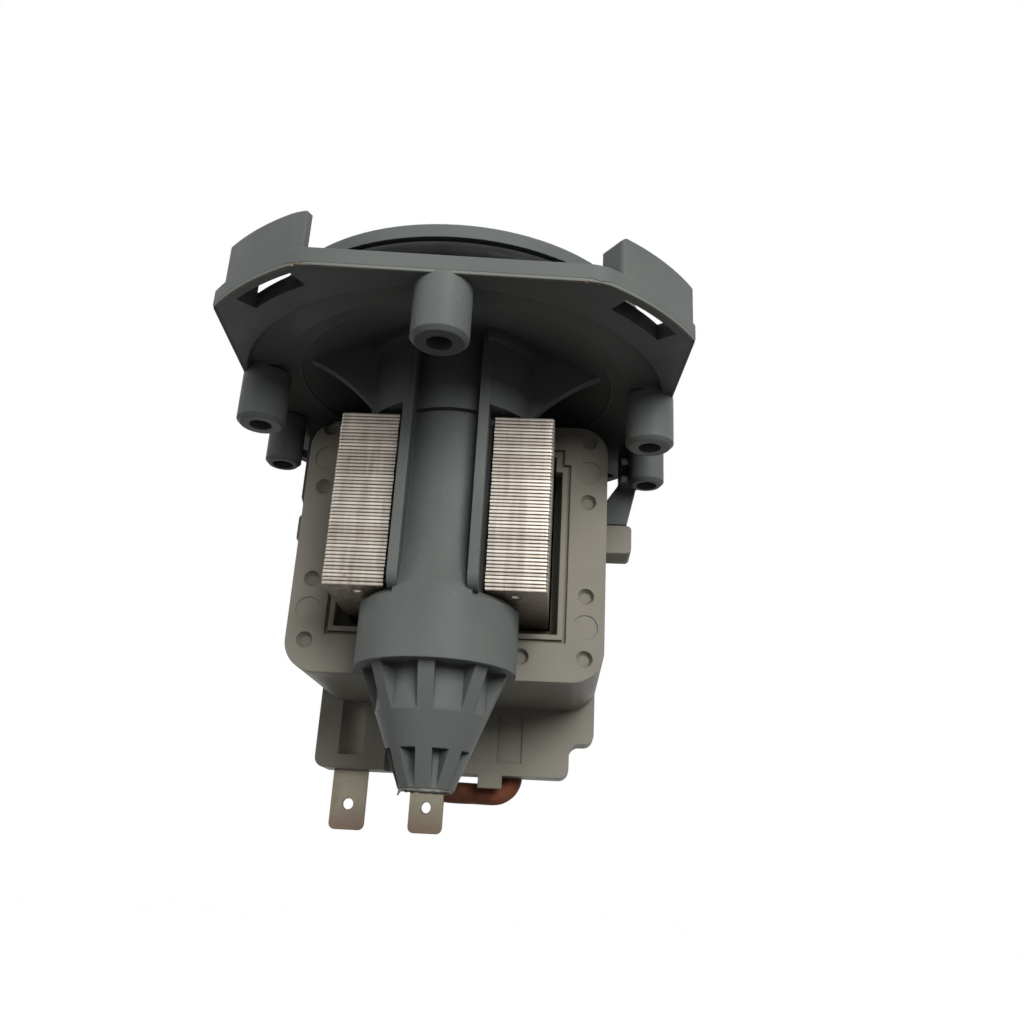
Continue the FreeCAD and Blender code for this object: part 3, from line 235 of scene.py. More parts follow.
@dataclass(frozen=True)
class Rubber:
    """Soft rubber or sleeve with a dull sheen and uneven tint."""

    name: str
    colour: tuple[int, int, int]
    tint: tuple[int, int, int]
    roughness: float = 0.55
    gloss: float = 0.08

    def material(self) -> Material:
        """Builds the finish.

        Returns:
            The material.
        """
        graph = Graph(self.name)
        share = graph.span(graph.noise(220, 4), 0.35, 0.65, 0, 1)
        colour = graph.blend(share, linear(*self.colour), linear(*self.tint))
        rough = graph.span(graph.noise(500, 3), 0.3, 0.7, self.roughness - 0.12, self.roughness + 0.1)
        normal = graph.bump(graph.noise(1500, 3), 0.00002)
        graph.surface(Base_Color=colour, Roughness=rough, Normal=normal, Specular_IOR_Level=self.gloss)
        return graph.material


@dataclass(frozen=True)
class Metal:
    """Bare metal with fine drawn marks along one axis and stained patches."""

    name: str
    colour: tuple[int, int, int]
    stain: tuple[int, int, int]
    roughness: float = 0.36
    stretch: tuple[float, float, float] = (1, 1, 0.05)
    scratch: float = 0.000004
    metallic: float = 0.8
    stained: tuple[float, float] | None = None

    def material(self) -> Material:
        """Builds the finish.

        Returns:
            The material.
        """
        graph = Graph(self.name)
        patches = graph.span(graph.noise(130, 5), 0.45, 0.72, 0, 0.7)
        if self.stained:
            height = graph.tree.nodes.new("ShaderNodeSeparateXYZ")
            graph.put(height.inputs[0], graph.coordinates.outputs["Object"])
            patches = graph.math("MAXIMUM", patches, graph.span(height.outputs["Z"], *self.stained, 0, 0.85))
        colour = graph.blend(patches, linear(*self.colour), linear(*self.stain))
        drawn = graph.noise(2400, 4, graph.place(self.stretch))
        rough = graph.span(drawn, 0.3, 0.7, self.roughness - 0.1, self.roughness + 0.14)
        normal = graph.bump(drawn, self.scratch, graph.rounded(0.00012))
        graph.surface(Base_Color=colour, Roughness=rough, Normal=normal, Metallic=self.metallic)
        return graph.material


@dataclass(frozen=True)
class SheetEdges:
    """Edges of stamped sheets: each sheet has its own tone, and the seams between them are dark."""

    name: str
    bright: tuple[int, int, int] = (196, 189, 179)
    dull: tuple[int, int, int] = (128, 118, 106)
    seam: tuple[int, int, int] = (66, 61, 55)
    rust: tuple[int, int, int] = (92, 58, 42)

    def material(self) -> Material:
        """Builds the finish from the tone that the stack's points carry.

        Returns:
            The material.
        """
        graph = Graph(self.name)
        tone = graph.tree.nodes.new("ShaderNodeAttribute")
        tone.attribute_name = "tone"
        drag = graph.noise(900, 4, graph.place((1, 1, 0.12)))
        share = graph.math("ADD", tone.outputs["Fac"], graph.span(drag, 0.3, 0.7, -0.12, 0.12))
        colour = graph.blend(graph.span(share, 0.45, 1.0, 0, 1), linear(*self.dull), linear(*self.bright))
        colour = graph.blend(graph.span(share, 0.02, 0.45, 0, 1), linear(*self.seam), colour)
        spots = graph.math("MULTIPLY", graph.span(graph.noise(420, 3), 0.64, 0.7, 0, 0.7),
                           graph.span(graph.noise(60, 2), 0.5, 0.6, 0, 1))
        colour = graph.blend(spots, colour, linear(*self.rust))
        rough = graph.span(drag, 0.3, 0.7, 0.36, 0.52)
        graph.surface(Base_Color=colour, Roughness=rough, Metallic=0.65)
        return graph.material


HOUSING_GREY = MouldedPlastic("housing_grey", (106, 110, 107), (150, 154, 150))
EDGE_GREY = MouldedPlastic("edge_grey", (128, 130, 124), (166, 164, 156))
FLASH_GREY = MouldedPlastic("flash_grey", (158, 156, 148), (186, 182, 172))
BOX_GREY = MouldedPlastic("box_grey", (147, 143, 132), (176, 172, 161))
BOBBIN_CREAM = MouldedPlastic("bobbin_cream", (165, 162, 150), (190, 188, 178))
CAP_GREY = MouldedPlastic("cap_grey", (140, 142, 140), (170, 172, 170))
CARRIER_WHITE = MouldedPlastic("carrier_white", (214, 210, 200), (232, 230, 224))
WHEEL_GREY = MouldedPlastic("wheel_grey", (158, 159, 156), (190, 190, 188))
SEAL_BLACK = Rubber("seal_black", (30, 30, 32), (38, 38, 40))
LEAD_BROWN = Rubber("lead_brown", (128, 78, 58), (94, 58, 44))
TAB_TIN = Metal("tab_tin", (148, 142, 124), (116, 98, 84), 0.46, (1, 1, 1), metallic=0.6,
                stained=(-0.0725, -0.0775))
CHIP_BROWN = MouldedPlastic("chip_brown", (142, 104, 70), (176, 140, 104))
BUSH_BRONZE = Metal("bush_bronze", (150, 118, 78), (118, 92, 62), 0.5)
SHAFT_STEEL = Metal("shaft_steel", (205, 205, 205), (180, 180, 182), 0.22)
WASHER_STEEL = Metal("washer_steel", (196, 196, 198), (176, 176, 176), 0.3)
FERRITE = Metal("ferrite", (70, 70, 74), (58, 58, 62), 0.5)
SHEET_EDGES = SheetEdges("sheet_edges")
COPPER = Metal("copper", (170, 98, 58), (140, 74, 42), 0.34)

Finish = MouldedPlastic | Rubber | Metal | SheetEdges
MADE: dict[str, Material] = {}


def palette(finish: Finish) -> Material:
    """The finish's material, built once and shared."""
    if finish.name not in MADE:
        MADE[finish.name] = finish.material()
    return MADE[finish.name]


@dataclass
class Surfaces:
    """Point grids in millimetres that are joined into one mesh."""

    name: str
    points: list[np.ndarray] = field(default_factory=list)
    faces: list[list[int]] = field(default_factory=list)
    tones: list[np.ndarray] = field(default_factory=list)

    def grid(self, grid: np.ndarray, wrap_rows: bool = False, wrap_columns: bool = False,
             tone: np.ndarray | None = None) -> None:
        """Adds a grid of points, whose neighbours become four-sided faces.

        Args:
            grid: points with the shape rows, columns, 3.
            wrap_rows, wrap_columns: whether the last row or column joins the first.
            tone: a value per point, 1 where none is given.
        """
        rows, columns = grid.shape[:2]
        index = np.arange(rows * columns).reshape(rows, columns) + self.count()
        if wrap_rows:
            index = np.vstack([index, index[:1]])
        if wrap_columns:
            index = np.hstack([index, index[:, :1]])
        corners = [index[:-1, :-1], index[:-1, 1:], index[1:, 1:], index[1:, :-1]]
        self.faces += np.stack(corners, axis=-1).reshape(-1, 4).tolist()
        self.points.append(grid.reshape(-1, 3))
        self.tones.append(np.ones(rows * columns) if tone is None else tone.reshape(-1))

    def cap(self, ring: np.ndarray, tone: float = 1.0) -> None:
        """Adds one flat face over a ring of points."""
        self.faces.append((np.arange(len(ring)) + self.count()).tolist())
        self.points.append(ring)
        self.tones.append(np.full(len(ring), tone))

    def count(self) -> int:
        """Number of points so far."""
        return sum(len(block) for block in self.points)

    def mesh(self, sharp_degrees: float = 40.0) -> Mesh:
        """Joins the grids, merges doubles, turns the faces outward and smooths them.

        Args:
            sharp_degrees: edges above this angle stay sharp.

        Returns:
            The mesh in metres.
        """
        mesh = bpy.data.meshes.new(self.name)
        mesh.from_pydata((np.vstack(self.points) * MM).tolist(), [], self.faces)
        tone = mesh.attributes.new("tone", "FLOAT", "POINT")
        tone.data.foreach_set("value", np.concatenate(self.tones).astype(np.float32))
        form = bmesh.new()
        form.from_mesh(mesh)
        bmesh.ops.remove_doubles(form, verts=form.verts, dist=1e-7)
        bmesh.ops.recalc_face_normals(form, faces=form.faces)
        form.to_mesh(mesh)
        form.free()
        mesh.shade_smooth()
        mesh.set_sharp_from_angle(angle=math.radians(sharp_degrees))
        return mesh


def show(name: str, mesh: Mesh, finish: Finish, body: Body = Body.HOUSING,
         replaces: str | None = None) -> Object:
    """Places a finished mesh in the scene.

    Args:
        name: the piece's name.
        mesh: its mesh, in place and in metres.
        finish: what it is made of.
        body: the body that carries it.
        replaces: the CAD node that it stands for.

    Returns:
        The object.
    """
    mesh.materials.clear()
    mesh.materials.append(palette(finish))
    piece = bpy.data.objects.new(name, mesh)
    bpy.context.scene.collection.objects.link(piece)
    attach(piece, body.value)
    if replaces:
        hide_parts(replaces)
    LOG.info("%s: %d faces", name, len(mesh.polygons))
    return piece


def smooth_noise(size: int, seed: int, width: int) -> np.ndarray:
    """Uneven numbers from 0 to 1 along a closed line: random values averaged over a window.

    Args:
        size: how many.
        seed: start of the random draws.
        width: the window.

    Returns:
        The numbers.
    """
    draws = np.random.default_rng(seed).random(size)
    window = np.ones(width) / width
    smooth = np.convolve(np.concatenate([draws, draws[:width]]), window, "full")
    smooth = smooth[width - 1:width - 1 + size]
    return (smooth - smooth.min()) / (smooth.max() - smooth.min())


def ring_grid(centre: np.ndarray, first: np.ndarray, second: np.ndarray, radius: np.ndarray,
              steps: int) -> np.ndarray:
    """Tube round a path: centre + radius times (cos a first + sin a second), a from 0 to a full turn.

    Args:
        centre: path points, one row each.
        first, second: two unit vectors across the path at each point.
        radius: tube radius at each point.
        steps: points round the tube.

    Returns:
        Grid of path points by steps.
    """
    angle = np.linspace(0, 2 * np.pi, steps, endpoint=False)[None, :, None]
    across = np.cos(angle) * first[:, None, :] + np.sin(angle) * second[:, None, :]
    return centre[:, None, :] + radius[:, None, None] * across


@dataclass
class NodeSkin:
    """A smooth-shaded, merged copy of a CAD node that is shown in its place."""

    node: str
    finish: MouldedPlastic | Rubber | Metal
    slot: str
    body: Body = Body.HOUSING
    sharp_degrees: float = 28.0
    cutters: list[Mesh] = field(default_factory=list)

    def merged(self) -> Mesh:
        """Copy of the node's mesh with its doubles merged."""
        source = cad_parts[self.node].data
        points = np.empty(3 * len(source.vertices), np.float32)
        corners = np.empty(len(source.loops), np.int32)
        source.vertices.foreach_get("co", points)
        source.loops.foreach_get("vertex_index", corners)
        mesh = bpy.data.meshes.new(self.node + "_skin")
        mesh.from_pydata(points.reshape(-1, 3).tolist(), [], corners.reshape(-1, 3).tolist())
        form = bmesh.new()
        form.from_mesh(mesh)
        bmesh.ops.remove_doubles(form, verts=form.verts, dist=DOUBLES)
        form.to_mesh(mesh)
        form.free()
        return mesh

    def build(self) -> Object:
        """Shows the merged copy, cut to its finer shape and smooth up to the sharp angle.

        Returns:
            The skin, riding on its body.
        """
        mesh = self.merged()
        if self.cutters:
            mesh = carve(mesh, self.cutters)
        mesh.shade_smooth()
        mesh.set_sharp_from_angle(angle=math.radians(self.sharp_degrees))
        skin = show(self.node + "_skin", mesh, self.finish, self.body, self.node)
        modifier = skin.modifiers.new("flat_faces", "WEIGHTED_NORMAL")
        modifier.keep_sharp = True
        return skin


def carve(mesh: Mesh, cutters: list[Mesh]) -> Mesh:
    """Takes closed shapes away from a closed mesh.

    Args:
        mesh: what is cut.
        cutters: the shapes that go.

    Returns:
        The cut mesh, with its doubles merged.
    """
    blank = bpy.data.objects.new("blank", mesh)
    tools = [bpy.data.objects.new("cutter", cutter) for cutter in cutters]
    for piece in [blank] + tools:
        bpy.context.scene.collection.objects.link(piece)
    for tool in tools:
        modifier = blank.modifiers.new("cut", "BOOLEAN")
        modifier.operation, modifier.solver, modifier.object = "DIFFERENCE", "EXACT", tool
    shape = bpy.data.meshes.new_from_object(blank.evaluated_get(bpy.context.evaluated_depsgraph_get()))
    shape.name = mesh.name
    for piece in [blank] + tools:
        bpy.data.objects.remove(piece)
    form = bmesh.new()
    form.from_mesh(shape)
    bmesh.ops.remove_doubles(form, verts=form.verts, dist=DOUBLES)
    bmesh.ops.dissolve_degenerate(form, edges=form.edges, dist=DOUBLES)
    form.to_mesh(shape)
    form.free()
    return shape


@dataclass
class FlangeShape:
    """Finer shape of the flange: rounded corners, hooks set in from the edge with shorter lips, the
    dish's edge further out and a groove below the collar. Sizes as in the CAD solids, then its own."""

    turn: float = 3.8
    corner_r: float = 41.56
    right_x: float = 34.34
    left_x: float = -33.34
    half_y: float = 36.64
    front_round: float = 8.0
    side_round: float = 1.6
    front_from: float = 48.0
    plate_low: float = -12.4
    plate_top: float = -9.9
    hook_top: float = -4.1
    hook_inset: float = 0.16
    hook_starts: tuple[float, ...] = (40.3, 122.9, 220.3, 302.9)
    hook_sweep: float = 22.0
    lip_sweep: float = 13.5
    wall_inner: float = 40.0
    lip_inner: float = 37.1
    dish_r: float = 33.3
    dish_meet: float = 27.6
    dish_step: float = 1.2
    dish_from: float = 190.0
    dish_to: float = 350.0
    bosses: tuple[tuple[float, float, float], ...] = (
        (-0.8, -32.8, 3.9), (30.85, -4.45, 3.75), (-29.85, -4.45, 3.75))
    groove_r: float = 9.55
    groove_top: float = -18.52
    groove_high: float = 0.43
    groove_half_sweep: float = 27.0
    past_end: float = 0.6
    first_run: float = 1.7
    first_drop: float = 0.7
    last_run: float = 1.6
    last_drop: float = 0.3
    clear_r: float = 43.0
    far_r: float = 60.0

    def outline(self, inset: float = 0.0, steps: int = 360) -> np.ndarray:
        """Circle cut by four flats, its corners rounded: the shape is drawn in by the rounding's
        radius, and for every direction that radius is added to the farthest point.

        Args:
            inset: how far the line stands inside the plate's edge.
            steps: points round the plate.

        Returns:
            Points x, y in the flange's place, anticlockwise.
        """
        angle = (np.arange(steps) + 0.5) * 2 * np.pi / steps
        cosine, sine = np.cos(angle), np.sin(angle)
        at_front = np.abs(sine) > math.sin(math.radians(self.front_from))
        fillet = np.where(at_front, self.front_round, self.side_round)
        core = self.corner_r - fillet
        x, y = core * cosine, core * sine
        kept_x = np.clip(x, self.left_x + fillet, self.right_x - fillet)
        kept_y = np.clip(y, fillet - self.half_y, self.half_y - fillet)
        y = np.where(kept_x != x, np.sign(sine) * np.sqrt(core ** 2 - kept_x ** 2), kept_y)
        x = np.where(kept_y != core * sine, np.sign(cosine) * np.sqrt(core ** 2 - kept_y ** 2), kept_x)
        reach = fillet - inset
        return self.turned(np.stack([x + reach * cosine, y + reach * sine], axis=1))

    def turned(self, points: np.ndarray) -> np.ndarray:
        """Turns x, y points with the flange."""
        angle = math.radians(self.turn)
        turn = np.array([[math.cos(angle), math.sin(angle)], [-math.sin(angle), math.cos(angle)]])
        return points @ turn

    def edge_cutter(self) -> Mesh:
        """Frame round the plate: its section is the plate's edge, a small step in at the hooks'
        foot, the hooks' outer side and a loop far outside."""
        at_plate, at_hook = self.outline(), self.outline(self.hook_inset)
        far = at_plate / np.linalg.norm(at_plate, axis=1)[:, None] * self.far_r
        step = self.plate_top + 0.05
        rows = [(at_plate, self.plate_low - 0.02), (at_plate, step), (at_hook, step),
                (at_hook, 0.0), (far, 0.0), (far, self.plate_low - 0.02)]
        frame_round = Surfaces("edge_cutter")
        grid = np.stack([np.column_stack([flat, np.full(len(flat), z)]) for flat, z in rows])
        frame_round.grid(grid, True, True)
        return frame_round.mesh()

    def sector(self, inner: float, outer: float, azimuth: np.ndarray, low: np.ndarray,
               high: float) -> Mesh:
        """Closed piece of a ring whose underside height follows the azimuth.

        Args:
            inner, outer: its radii.
            azimuth: degrees along it.
            low: height of its underside at each azimuth.
            high: height of its top.

        Returns:
            The mesh.
        """
        angle = np.radians(azimuth + self.turn)
        top = np.full(len(angle), high)
        rows = [np.stack([radius * np.cos(angle), radius * np.sin(angle), z], axis=1)
                for radius, z in ((inner, low), (outer, low), (outer, top), (inner, top))]
        block = Surfaces("sector")
        grid = np.stack(rows)
        block.grid(grid, True, False)
        block.cap(grid[:, 0])
        block.cap(grid[:, -1])
        return block.mesh()

    def dish_cutter(self) -> Mesh:
        """Step that sets the dish's edge further out from one side boss to the other.

        Its section runs up from the plate's underside at the new edge, then level in to the dish.
        The bosses are spared.

        Returns:
            The mesh.
        """
        angle = np.radians(np.linspace(self.dish_from, self.dish_to, 60) + self.turn)
        below, level = self.plate_low - 0.2, self.plate_low + self.dish_step
        rows = [(self.dish_r, below), (self.dish_r, self.plate_low - 0.02), (self.dish_r - 0.5, level),
                (self.dish_meet, level), (self.dish_meet, below)]
        grid = np.stack([np.stack([radius * np.cos(angle), radius * np.sin(angle), np.full(60, z)], axis=1)
                         for radius, z in rows])
        step = Surfaces("dish_step")
        step.grid(grid, True, False)
        step.cap(grid[:, 0])
        step.cap(grid[:, -1])
        return carve(step.mesh(), [self.boss_room(x, y, radius + 0.02) for x, y, radius in self.bosses])

    def boss_room(self, x: float, y: float, radius: float) -> Mesh:
        """Round column through the plate at a boss.

        Args:
            x, y: the boss's place before the flange's turn.
            radius: of the column.

        Returns:
            The mesh.
        """
        turn = np.linspace(0, 2 * np.pi, 48, endpoint=False)
        rim = self.turned(np.array([[x, y]])) + radius * np.stack([np.cos(turn), np.sin(turn)], axis=1)
        around = np.stack([np.column_stack([rim, np.full(48, z)])
                           for z in (self.plate_low - 2, self.plate_top + 1)])
        column = Surfaces("boss_room")
        column.grid(around, False, True)
        column.cap(around[0])
        column.cap(around[1])
        return column.mesh()

    def groove_cutter(self) -> Mesh:
        """Groove round the tube's front, right below the collar's step."""
        half = self.groove_half_sweep
        azimuth = np.linspace(270 - half, 270 + half, 30) - self.turn
        low = np.full(30, self.groove_top - self.groove_high)
        return self.sector(self.groove_r, self.groove_r + 1.15, azimuth, low, self.groove_top)

    def hook_cutters(self) -> list[Mesh]:
        """For every hook: the lip's end that goes, and what rounds its top down at both ends."""
        found = []
        for start in self.hook_starts:
            end = start + self.hook_sweep + self.past_end
            inner = self.lip_inner - 0.6
            lip = np.linspace(start + self.lip_sweep, end, 8)
            found.append(self.sector(inner, self.wall_inner, lip,
                                     np.full(8, self.plate_top + 0.1), self.hook_top + 0.2))
            azimuth = np.linspace(start - self.past_end, end, 47)
            first = np.clip((start - self.past_end + self.first_run - azimuth) / self.first_run, 0, 1)
            last = np.clip((azimuth - end + self.last_run) / self.last_run, 0, 1)
            low = self.hook_top + 0.04 - self.first_drop * first ** 2 - self.last_drop * last ** 2
            found.append(self.sector(inner, self.clear_r, azimuth, low, self.hook_top + 0.5))
        return found


@dataclass
class EjectorDimples:
    """Dimples that deepen the ejector marks on the box's front face."""

    column_x: float = 22.0
    low_x: float = 12.1
    face_y: float = 7.2
    top: float = -13.0
    drops: tuple[float, ...] = (2.6, 13.4, 29.4, 39.4)
    left_rise: float = 1.25
    outer: float = 1.2
    inner: float = 0.85
    straight: float = 0.3
    depth: float = 0.8

    def cutters(self) -> list[Mesh]:
        """One plug per mark, which narrows towards its end."""
        places = [(-self.column_x, self.left_rise - drop) for drop in self.drops]
        places += [(self.column_x, -drop) for drop in self.drops]
        places += [(side.value * self.low_x, -self.drops[-1]) for side in Side]
        turn = np.linspace(0, 2 * np.pi, 28, endpoint=False)
        section = ((self.outer, -self.straight), (self.outer, self.straight), (self.inner, self.depth))
        found = []
        for x, rise in places:
            z = self.top + rise
            grid = np.stack([np.stack([x + radius * np.cos(turn), np.full(28, self.face_y + y),
                                       z + radius * np.sin(turn)], axis=1) for radius, y in section])
            plug = Surfaces("dimple")
            plug.grid(grid, False, True)
            plug.cap(grid[0])
            plug.cap(grid[-1])
            found.append(plug.mesh())
        return found


@dataclass
class CordSeal:
    """Round rubber cord in a groove round the rotor axis, with a faint mould line outside."""

    node: str
    middle_r: float
    cord: float
    height: float
    steps: int = 160

    def build(self) -> Object:
        """Makes the seal as a torus.

        Returns:
            The seal.
        """
        turn = np.linspace(0, 2 * np.pi, self.steps, endpoint=False)
        outward = np.stack([np.cos(turn), np.sin(turn), np.zeros_like(turn)], axis=1)
        upward = np.tile([0.0, 0.0, 1.0], (self.steps, 1))
        centre = outward * self.middle_r + upward * self.height
        radius = np.full(self.steps, self.cord / 2 - 0.02)
        ring = Surfaces(self.node + "_cord")
        grid = ring_grid(centre, outward, upward, radius, 32)
        grid[:, 0] += 0.02 * outward
        ring.grid(grid, True, True)
        return show(self.node + "_cord", ring.mesh(), SEAL_BLACK, Body.HOUSING, self.node)


@dataclass
class PoleStack:
    """U of stamped sheets beside the rotor tube: each sheet lies a little off its neighbours."""

    sheets: int = 49
    pitch: float = 0.553
    bottom: float = -46.497
    inner_x: float = 7.2
    outer_x: float = 16.3
    front_y: float = -9.4
    yoke_front_y: float = 27.5
    back_y: float = 36.6
    bore_r: float = 10.2
    corner: float = 0.6
    margin: float = 0.07
    seed: int = 5
    dimple_r: float = 0.75
    dimple_depth: float = 0.25
    dimple_back: float = 3.4

    def outline(self) -> np.ndarray:
        """Half of a sheet's outline from the front corner to the yoke's middle and back inside,
        mirrored for the other half.

        Returns:
            Points x, y of the closed outline.
        """
        reach = math.sqrt(self.bore_r ** 2 - self.inner_x ** 2)
        bend = np.linspace(-np.pi / 2, 0, 7)
        corner = np.stack([self.outer_x - self.corner + self.corner * np.cos(bend),
                           self.front_y + self.corner + self.corner * np.sin(bend)], axis=1)
        sweep = math.atan2(reach, self.inner_x)
        arc = np.linspace(sweep, -sweep, 15)
        bore = np.stack([self.bore_r * np.cos(arc), self.bore_r * np.sin(arc)], axis=1)
        middle = (self.inner_x + self.outer_x) / 2
        right = np.vstack([[self.inner_x, self.front_y], [middle, self.front_y], corner,
                           [[self.outer_x, 0], [self.outer_x, self.back_y], [0, self.back_y]]])
        inside = np.vstack([[[0, self.yoke_front_y], [self.inner_x, self.yoke_front_y]], bore])
        mirror = np.array([-1.0, 1.0])
        return np.vstack([inside, right[:-1], right[-1:], right[-2::-1] * mirror, inside[:0:-1] * mirror])

    def outward(self, outline: np.ndarray) -> np.ndarray:
        """Unit vectors that point out of the outline, as the turned mean of both neighbouring sides."""
        side = np.roll(outline, -1, axis=0) - outline
        side /= np.linalg.norm(side, axis=1)[:, None]
        normal = np.stack([side[:, 1], -side[:, 0]], axis=1)
        mean = normal + np.roll(normal, 1, axis=0)
        mean /= np.maximum(np.linalg.norm(mean, axis=1)[:, None], 1e-6)
        share = np.maximum((mean * normal).sum(axis=1), 0.5)
        return mean / share[:, None]

    def build(self) -> Object:
        """Makes the stack: for every sheet five heights across its edge, drawn in at both seams,
        with the sheet's own small shift; then a cap at both ends, the lower one with its
        two interlock dimples.

        Returns:
            The stack.
        """
        draws = np.random.default_rng(self.seed)
        outline = self.outline()
        outward = self.outward(outline)
        if ((outline - outline.mean(axis=0)) * outward).sum() < 0:
            outward = -outward
        share = np.array([0.0, 0.16, 0.5, 0.78, 0.97])
        inset = np.array([0.1, 0.02, 0.0, 0.015, 0.08])
        gloss = np.array([0.0, 0.82, 1.0, 0.86, 0.1])
        shift = draws.uniform(-0.045, 0.045, (self.sheets, 1, 1, 2))
        drawn = (self.margin + inset)[None, :, None, None]
        flat = outline[None, None] - outward[None, None] * drawn + shift
        height = self.bottom + (np.arange(self.sheets)[:, None] + share[None]) * self.pitch
        height = np.broadcast_to(height[:, :, None, None], flat.shape[:3] + (1,))
        grid = np.concatenate([flat, height], axis=3).reshape(-1, len(outline), 3)
        tone = gloss[None] * draws.uniform(0.72, 1.0, (self.sheets, 1))
        tone -= draws.uniform(0, 0.08, (self.sheets, 1))
        stack = Surfaces("pole_stack")
        stack.grid(grid, False, True, np.repeat(tone.reshape(-1, 1), len(outline), axis=1))
        top = grid[-1].copy()
        top[:, 2] = self.bottom + self.sheets * self.pitch
        stack.grid(np.stack([grid[-1], top]), False, True, np.full((2, len(outline)), 0.5))
        stack.cap(top, 0.5)
        mesh = stack.mesh(25)
        self.close_below(mesh, grid[0])
        return show("pole_stack", mesh, SHEET_EDGES, Body.HOUSING, "stator_core")

    def close_below(self, mesh: Mesh, rim: np.ndarray) -> None:
        """Fills the lower end round both dimples, and sets a bowl into each.

        The bowl is r = dimple_r * sin b, depth = dimple_depth * cos b, with b from a quarter turn to 0.

        Args:
            mesh: the stack so far.
            rim: its lowest ring of points.
        """
        turn = np.linspace(0, 2 * np.pi, 20, endpoint=False)
        dip = np.linspace(np.pi / 2, 0.05, 5)
        middle = (self.inner_x + self.outer_x) / 2
        rings, bowls = [rim], Surfaces("bowls")
        for side in Side:
            radius = self.dimple_r * np.sin(dip)[:, None]
            x = side.value * middle + radius * np.cos(turn)
            y = self.front_y + self.dimple_back + radius * np.sin(turn)
            z = self.bottom + self.dimple_depth * np.cos(dip)[:, None]
            bowl = np.stack(np.broadcast_arrays(x, y, z), axis=2)
            bowls.grid(bowl, False, True)
            bowls.cap(bowl[-1])
            rings.append(bowl[0])
        sizes = [len(ring) for ring in rings]
        starts = np.cumsum([0] + sizes[:-1])
        edges = np.vstack([np.stack([np.arange(n), np.roll(np.arange(n), -1)], axis=1) + s
                           for n, s in zip(sizes, starts)])
        lid = bpy.data.meshes.new("stack_lid")
        lid.from_pydata((np.vstack(rings) * MM).tolist(), edges.tolist(), [])
        form = bmesh.new()
        form.from_mesh(lid)
        bmesh.ops.triangle_fill(form, use_beauty=True, use_dissolve=False, edges=form.edges)
        form.from_mesh(mesh)
        form.from_mesh(bowls.mesh())
        layer = form.verts.layers.float["tone"]
        low = (self.bottom - 0.001) * MM, (self.bottom + 0.001) * MM
        bmesh.ops.remove_doubles(form, verts=form.verts, dist=1e-7)
        bmesh.ops.recalc_face_normals(form, faces=form.faces)
        for face in form.faces:
            if all(low[0] < vert.co.z < low[1] for vert in face.verts):
                for vert in face.verts:
                    vert[layer] = 0.5
        form.to_mesh(mesh)
        form.free()
        mesh.shade_smooth()
        mesh.set_sharp_from_angle(angle=math.radians(25))


def rounded_rectangle(half_x: np.ndarray, half_z: np.ndarray, radius: np.ndarray,
                      steps: int) -> np.ndarray:
    """Closed outline of rectangles with quarter-circle corners.

    Args:
        half_x, half_z: half the sizes, one row each.
        radius: corner radii.
        steps: points per corner.

    Returns:
        Rows of x, z points, anticlockwise.
    """
    quarter = np.linspace(0, np.pi / 2, steps)
    angle = np.concatenate([quarter + k * np.pi / 2 for k in range(4)])
    sign_x = np.repeat([1, -1, -1, 1], steps)
    sign_z = np.repeat([1, 1, -1, -1], steps)
    x = sign_x * (half_x - radius)[:, None] + radius[:, None] * np.cos(angle)
    z = sign_z * (half_z - radius)[:, None] + radius[:, None] * np.sin(angle)
    return np.stack([x, z], axis=2)


@dataclass
class Winding:
    """Enamelled copper coil on a pole leg: its outer layer shows every turn of wire."""

    side: Side
    leg_x: float = 11.75
    leg_half_x: float = 4.55
    leg_z: float = -32.95
    leg_half_z: float = 13.55
    inner: float = 1.12
    outer: float = 3.93
    front_y: float = 14.82
    back_y: float = 26.08
    turns: int = 30

    def build(self) -> Object:
        """Makes the coil: a section whose outer side has one half circle per turn, taken round the leg.

        Returns:
            The coil.
        """
        along = np.linspace(0, self.turns, self.turns * 6 + 1)
        wire = (self.back_y - self.front_y) / self.turns
        bump = wire / 2 * np.sqrt(np.clip(1 - (2 * (along % 1) - 1) ** 2, 0, 1))
        outside = np.stack([self.outer - wire / 2 + bump, self.front_y + along * wire], axis=1)
        section = np.vstack([outside, [[self.inner, self.back_y], [self.inner, self.front_y]]])
        grow = section[:, 0]
        radius = np.maximum(0.3, 1.8 - (self.outer - grow))
        path = rounded_rectangle(self.leg_half_x + grow, self.leg_half_z + grow, radius, 5)
        x = self.side.value * (self.leg_x + path[:, :, 0])
        z = self.leg_z + path[:, :, 1]
        y = np.broadcast_to(section[:, 1][:, None], x.shape)
        coil = Surfaces("winding")
        coil.grid(np.stack([x, y, z], axis=2), True, True)
        name = "winding_" + self.side.name.lower()
        return show(name + "_turns", coil.mesh(50), COPPER, Body.HOUSING, name)


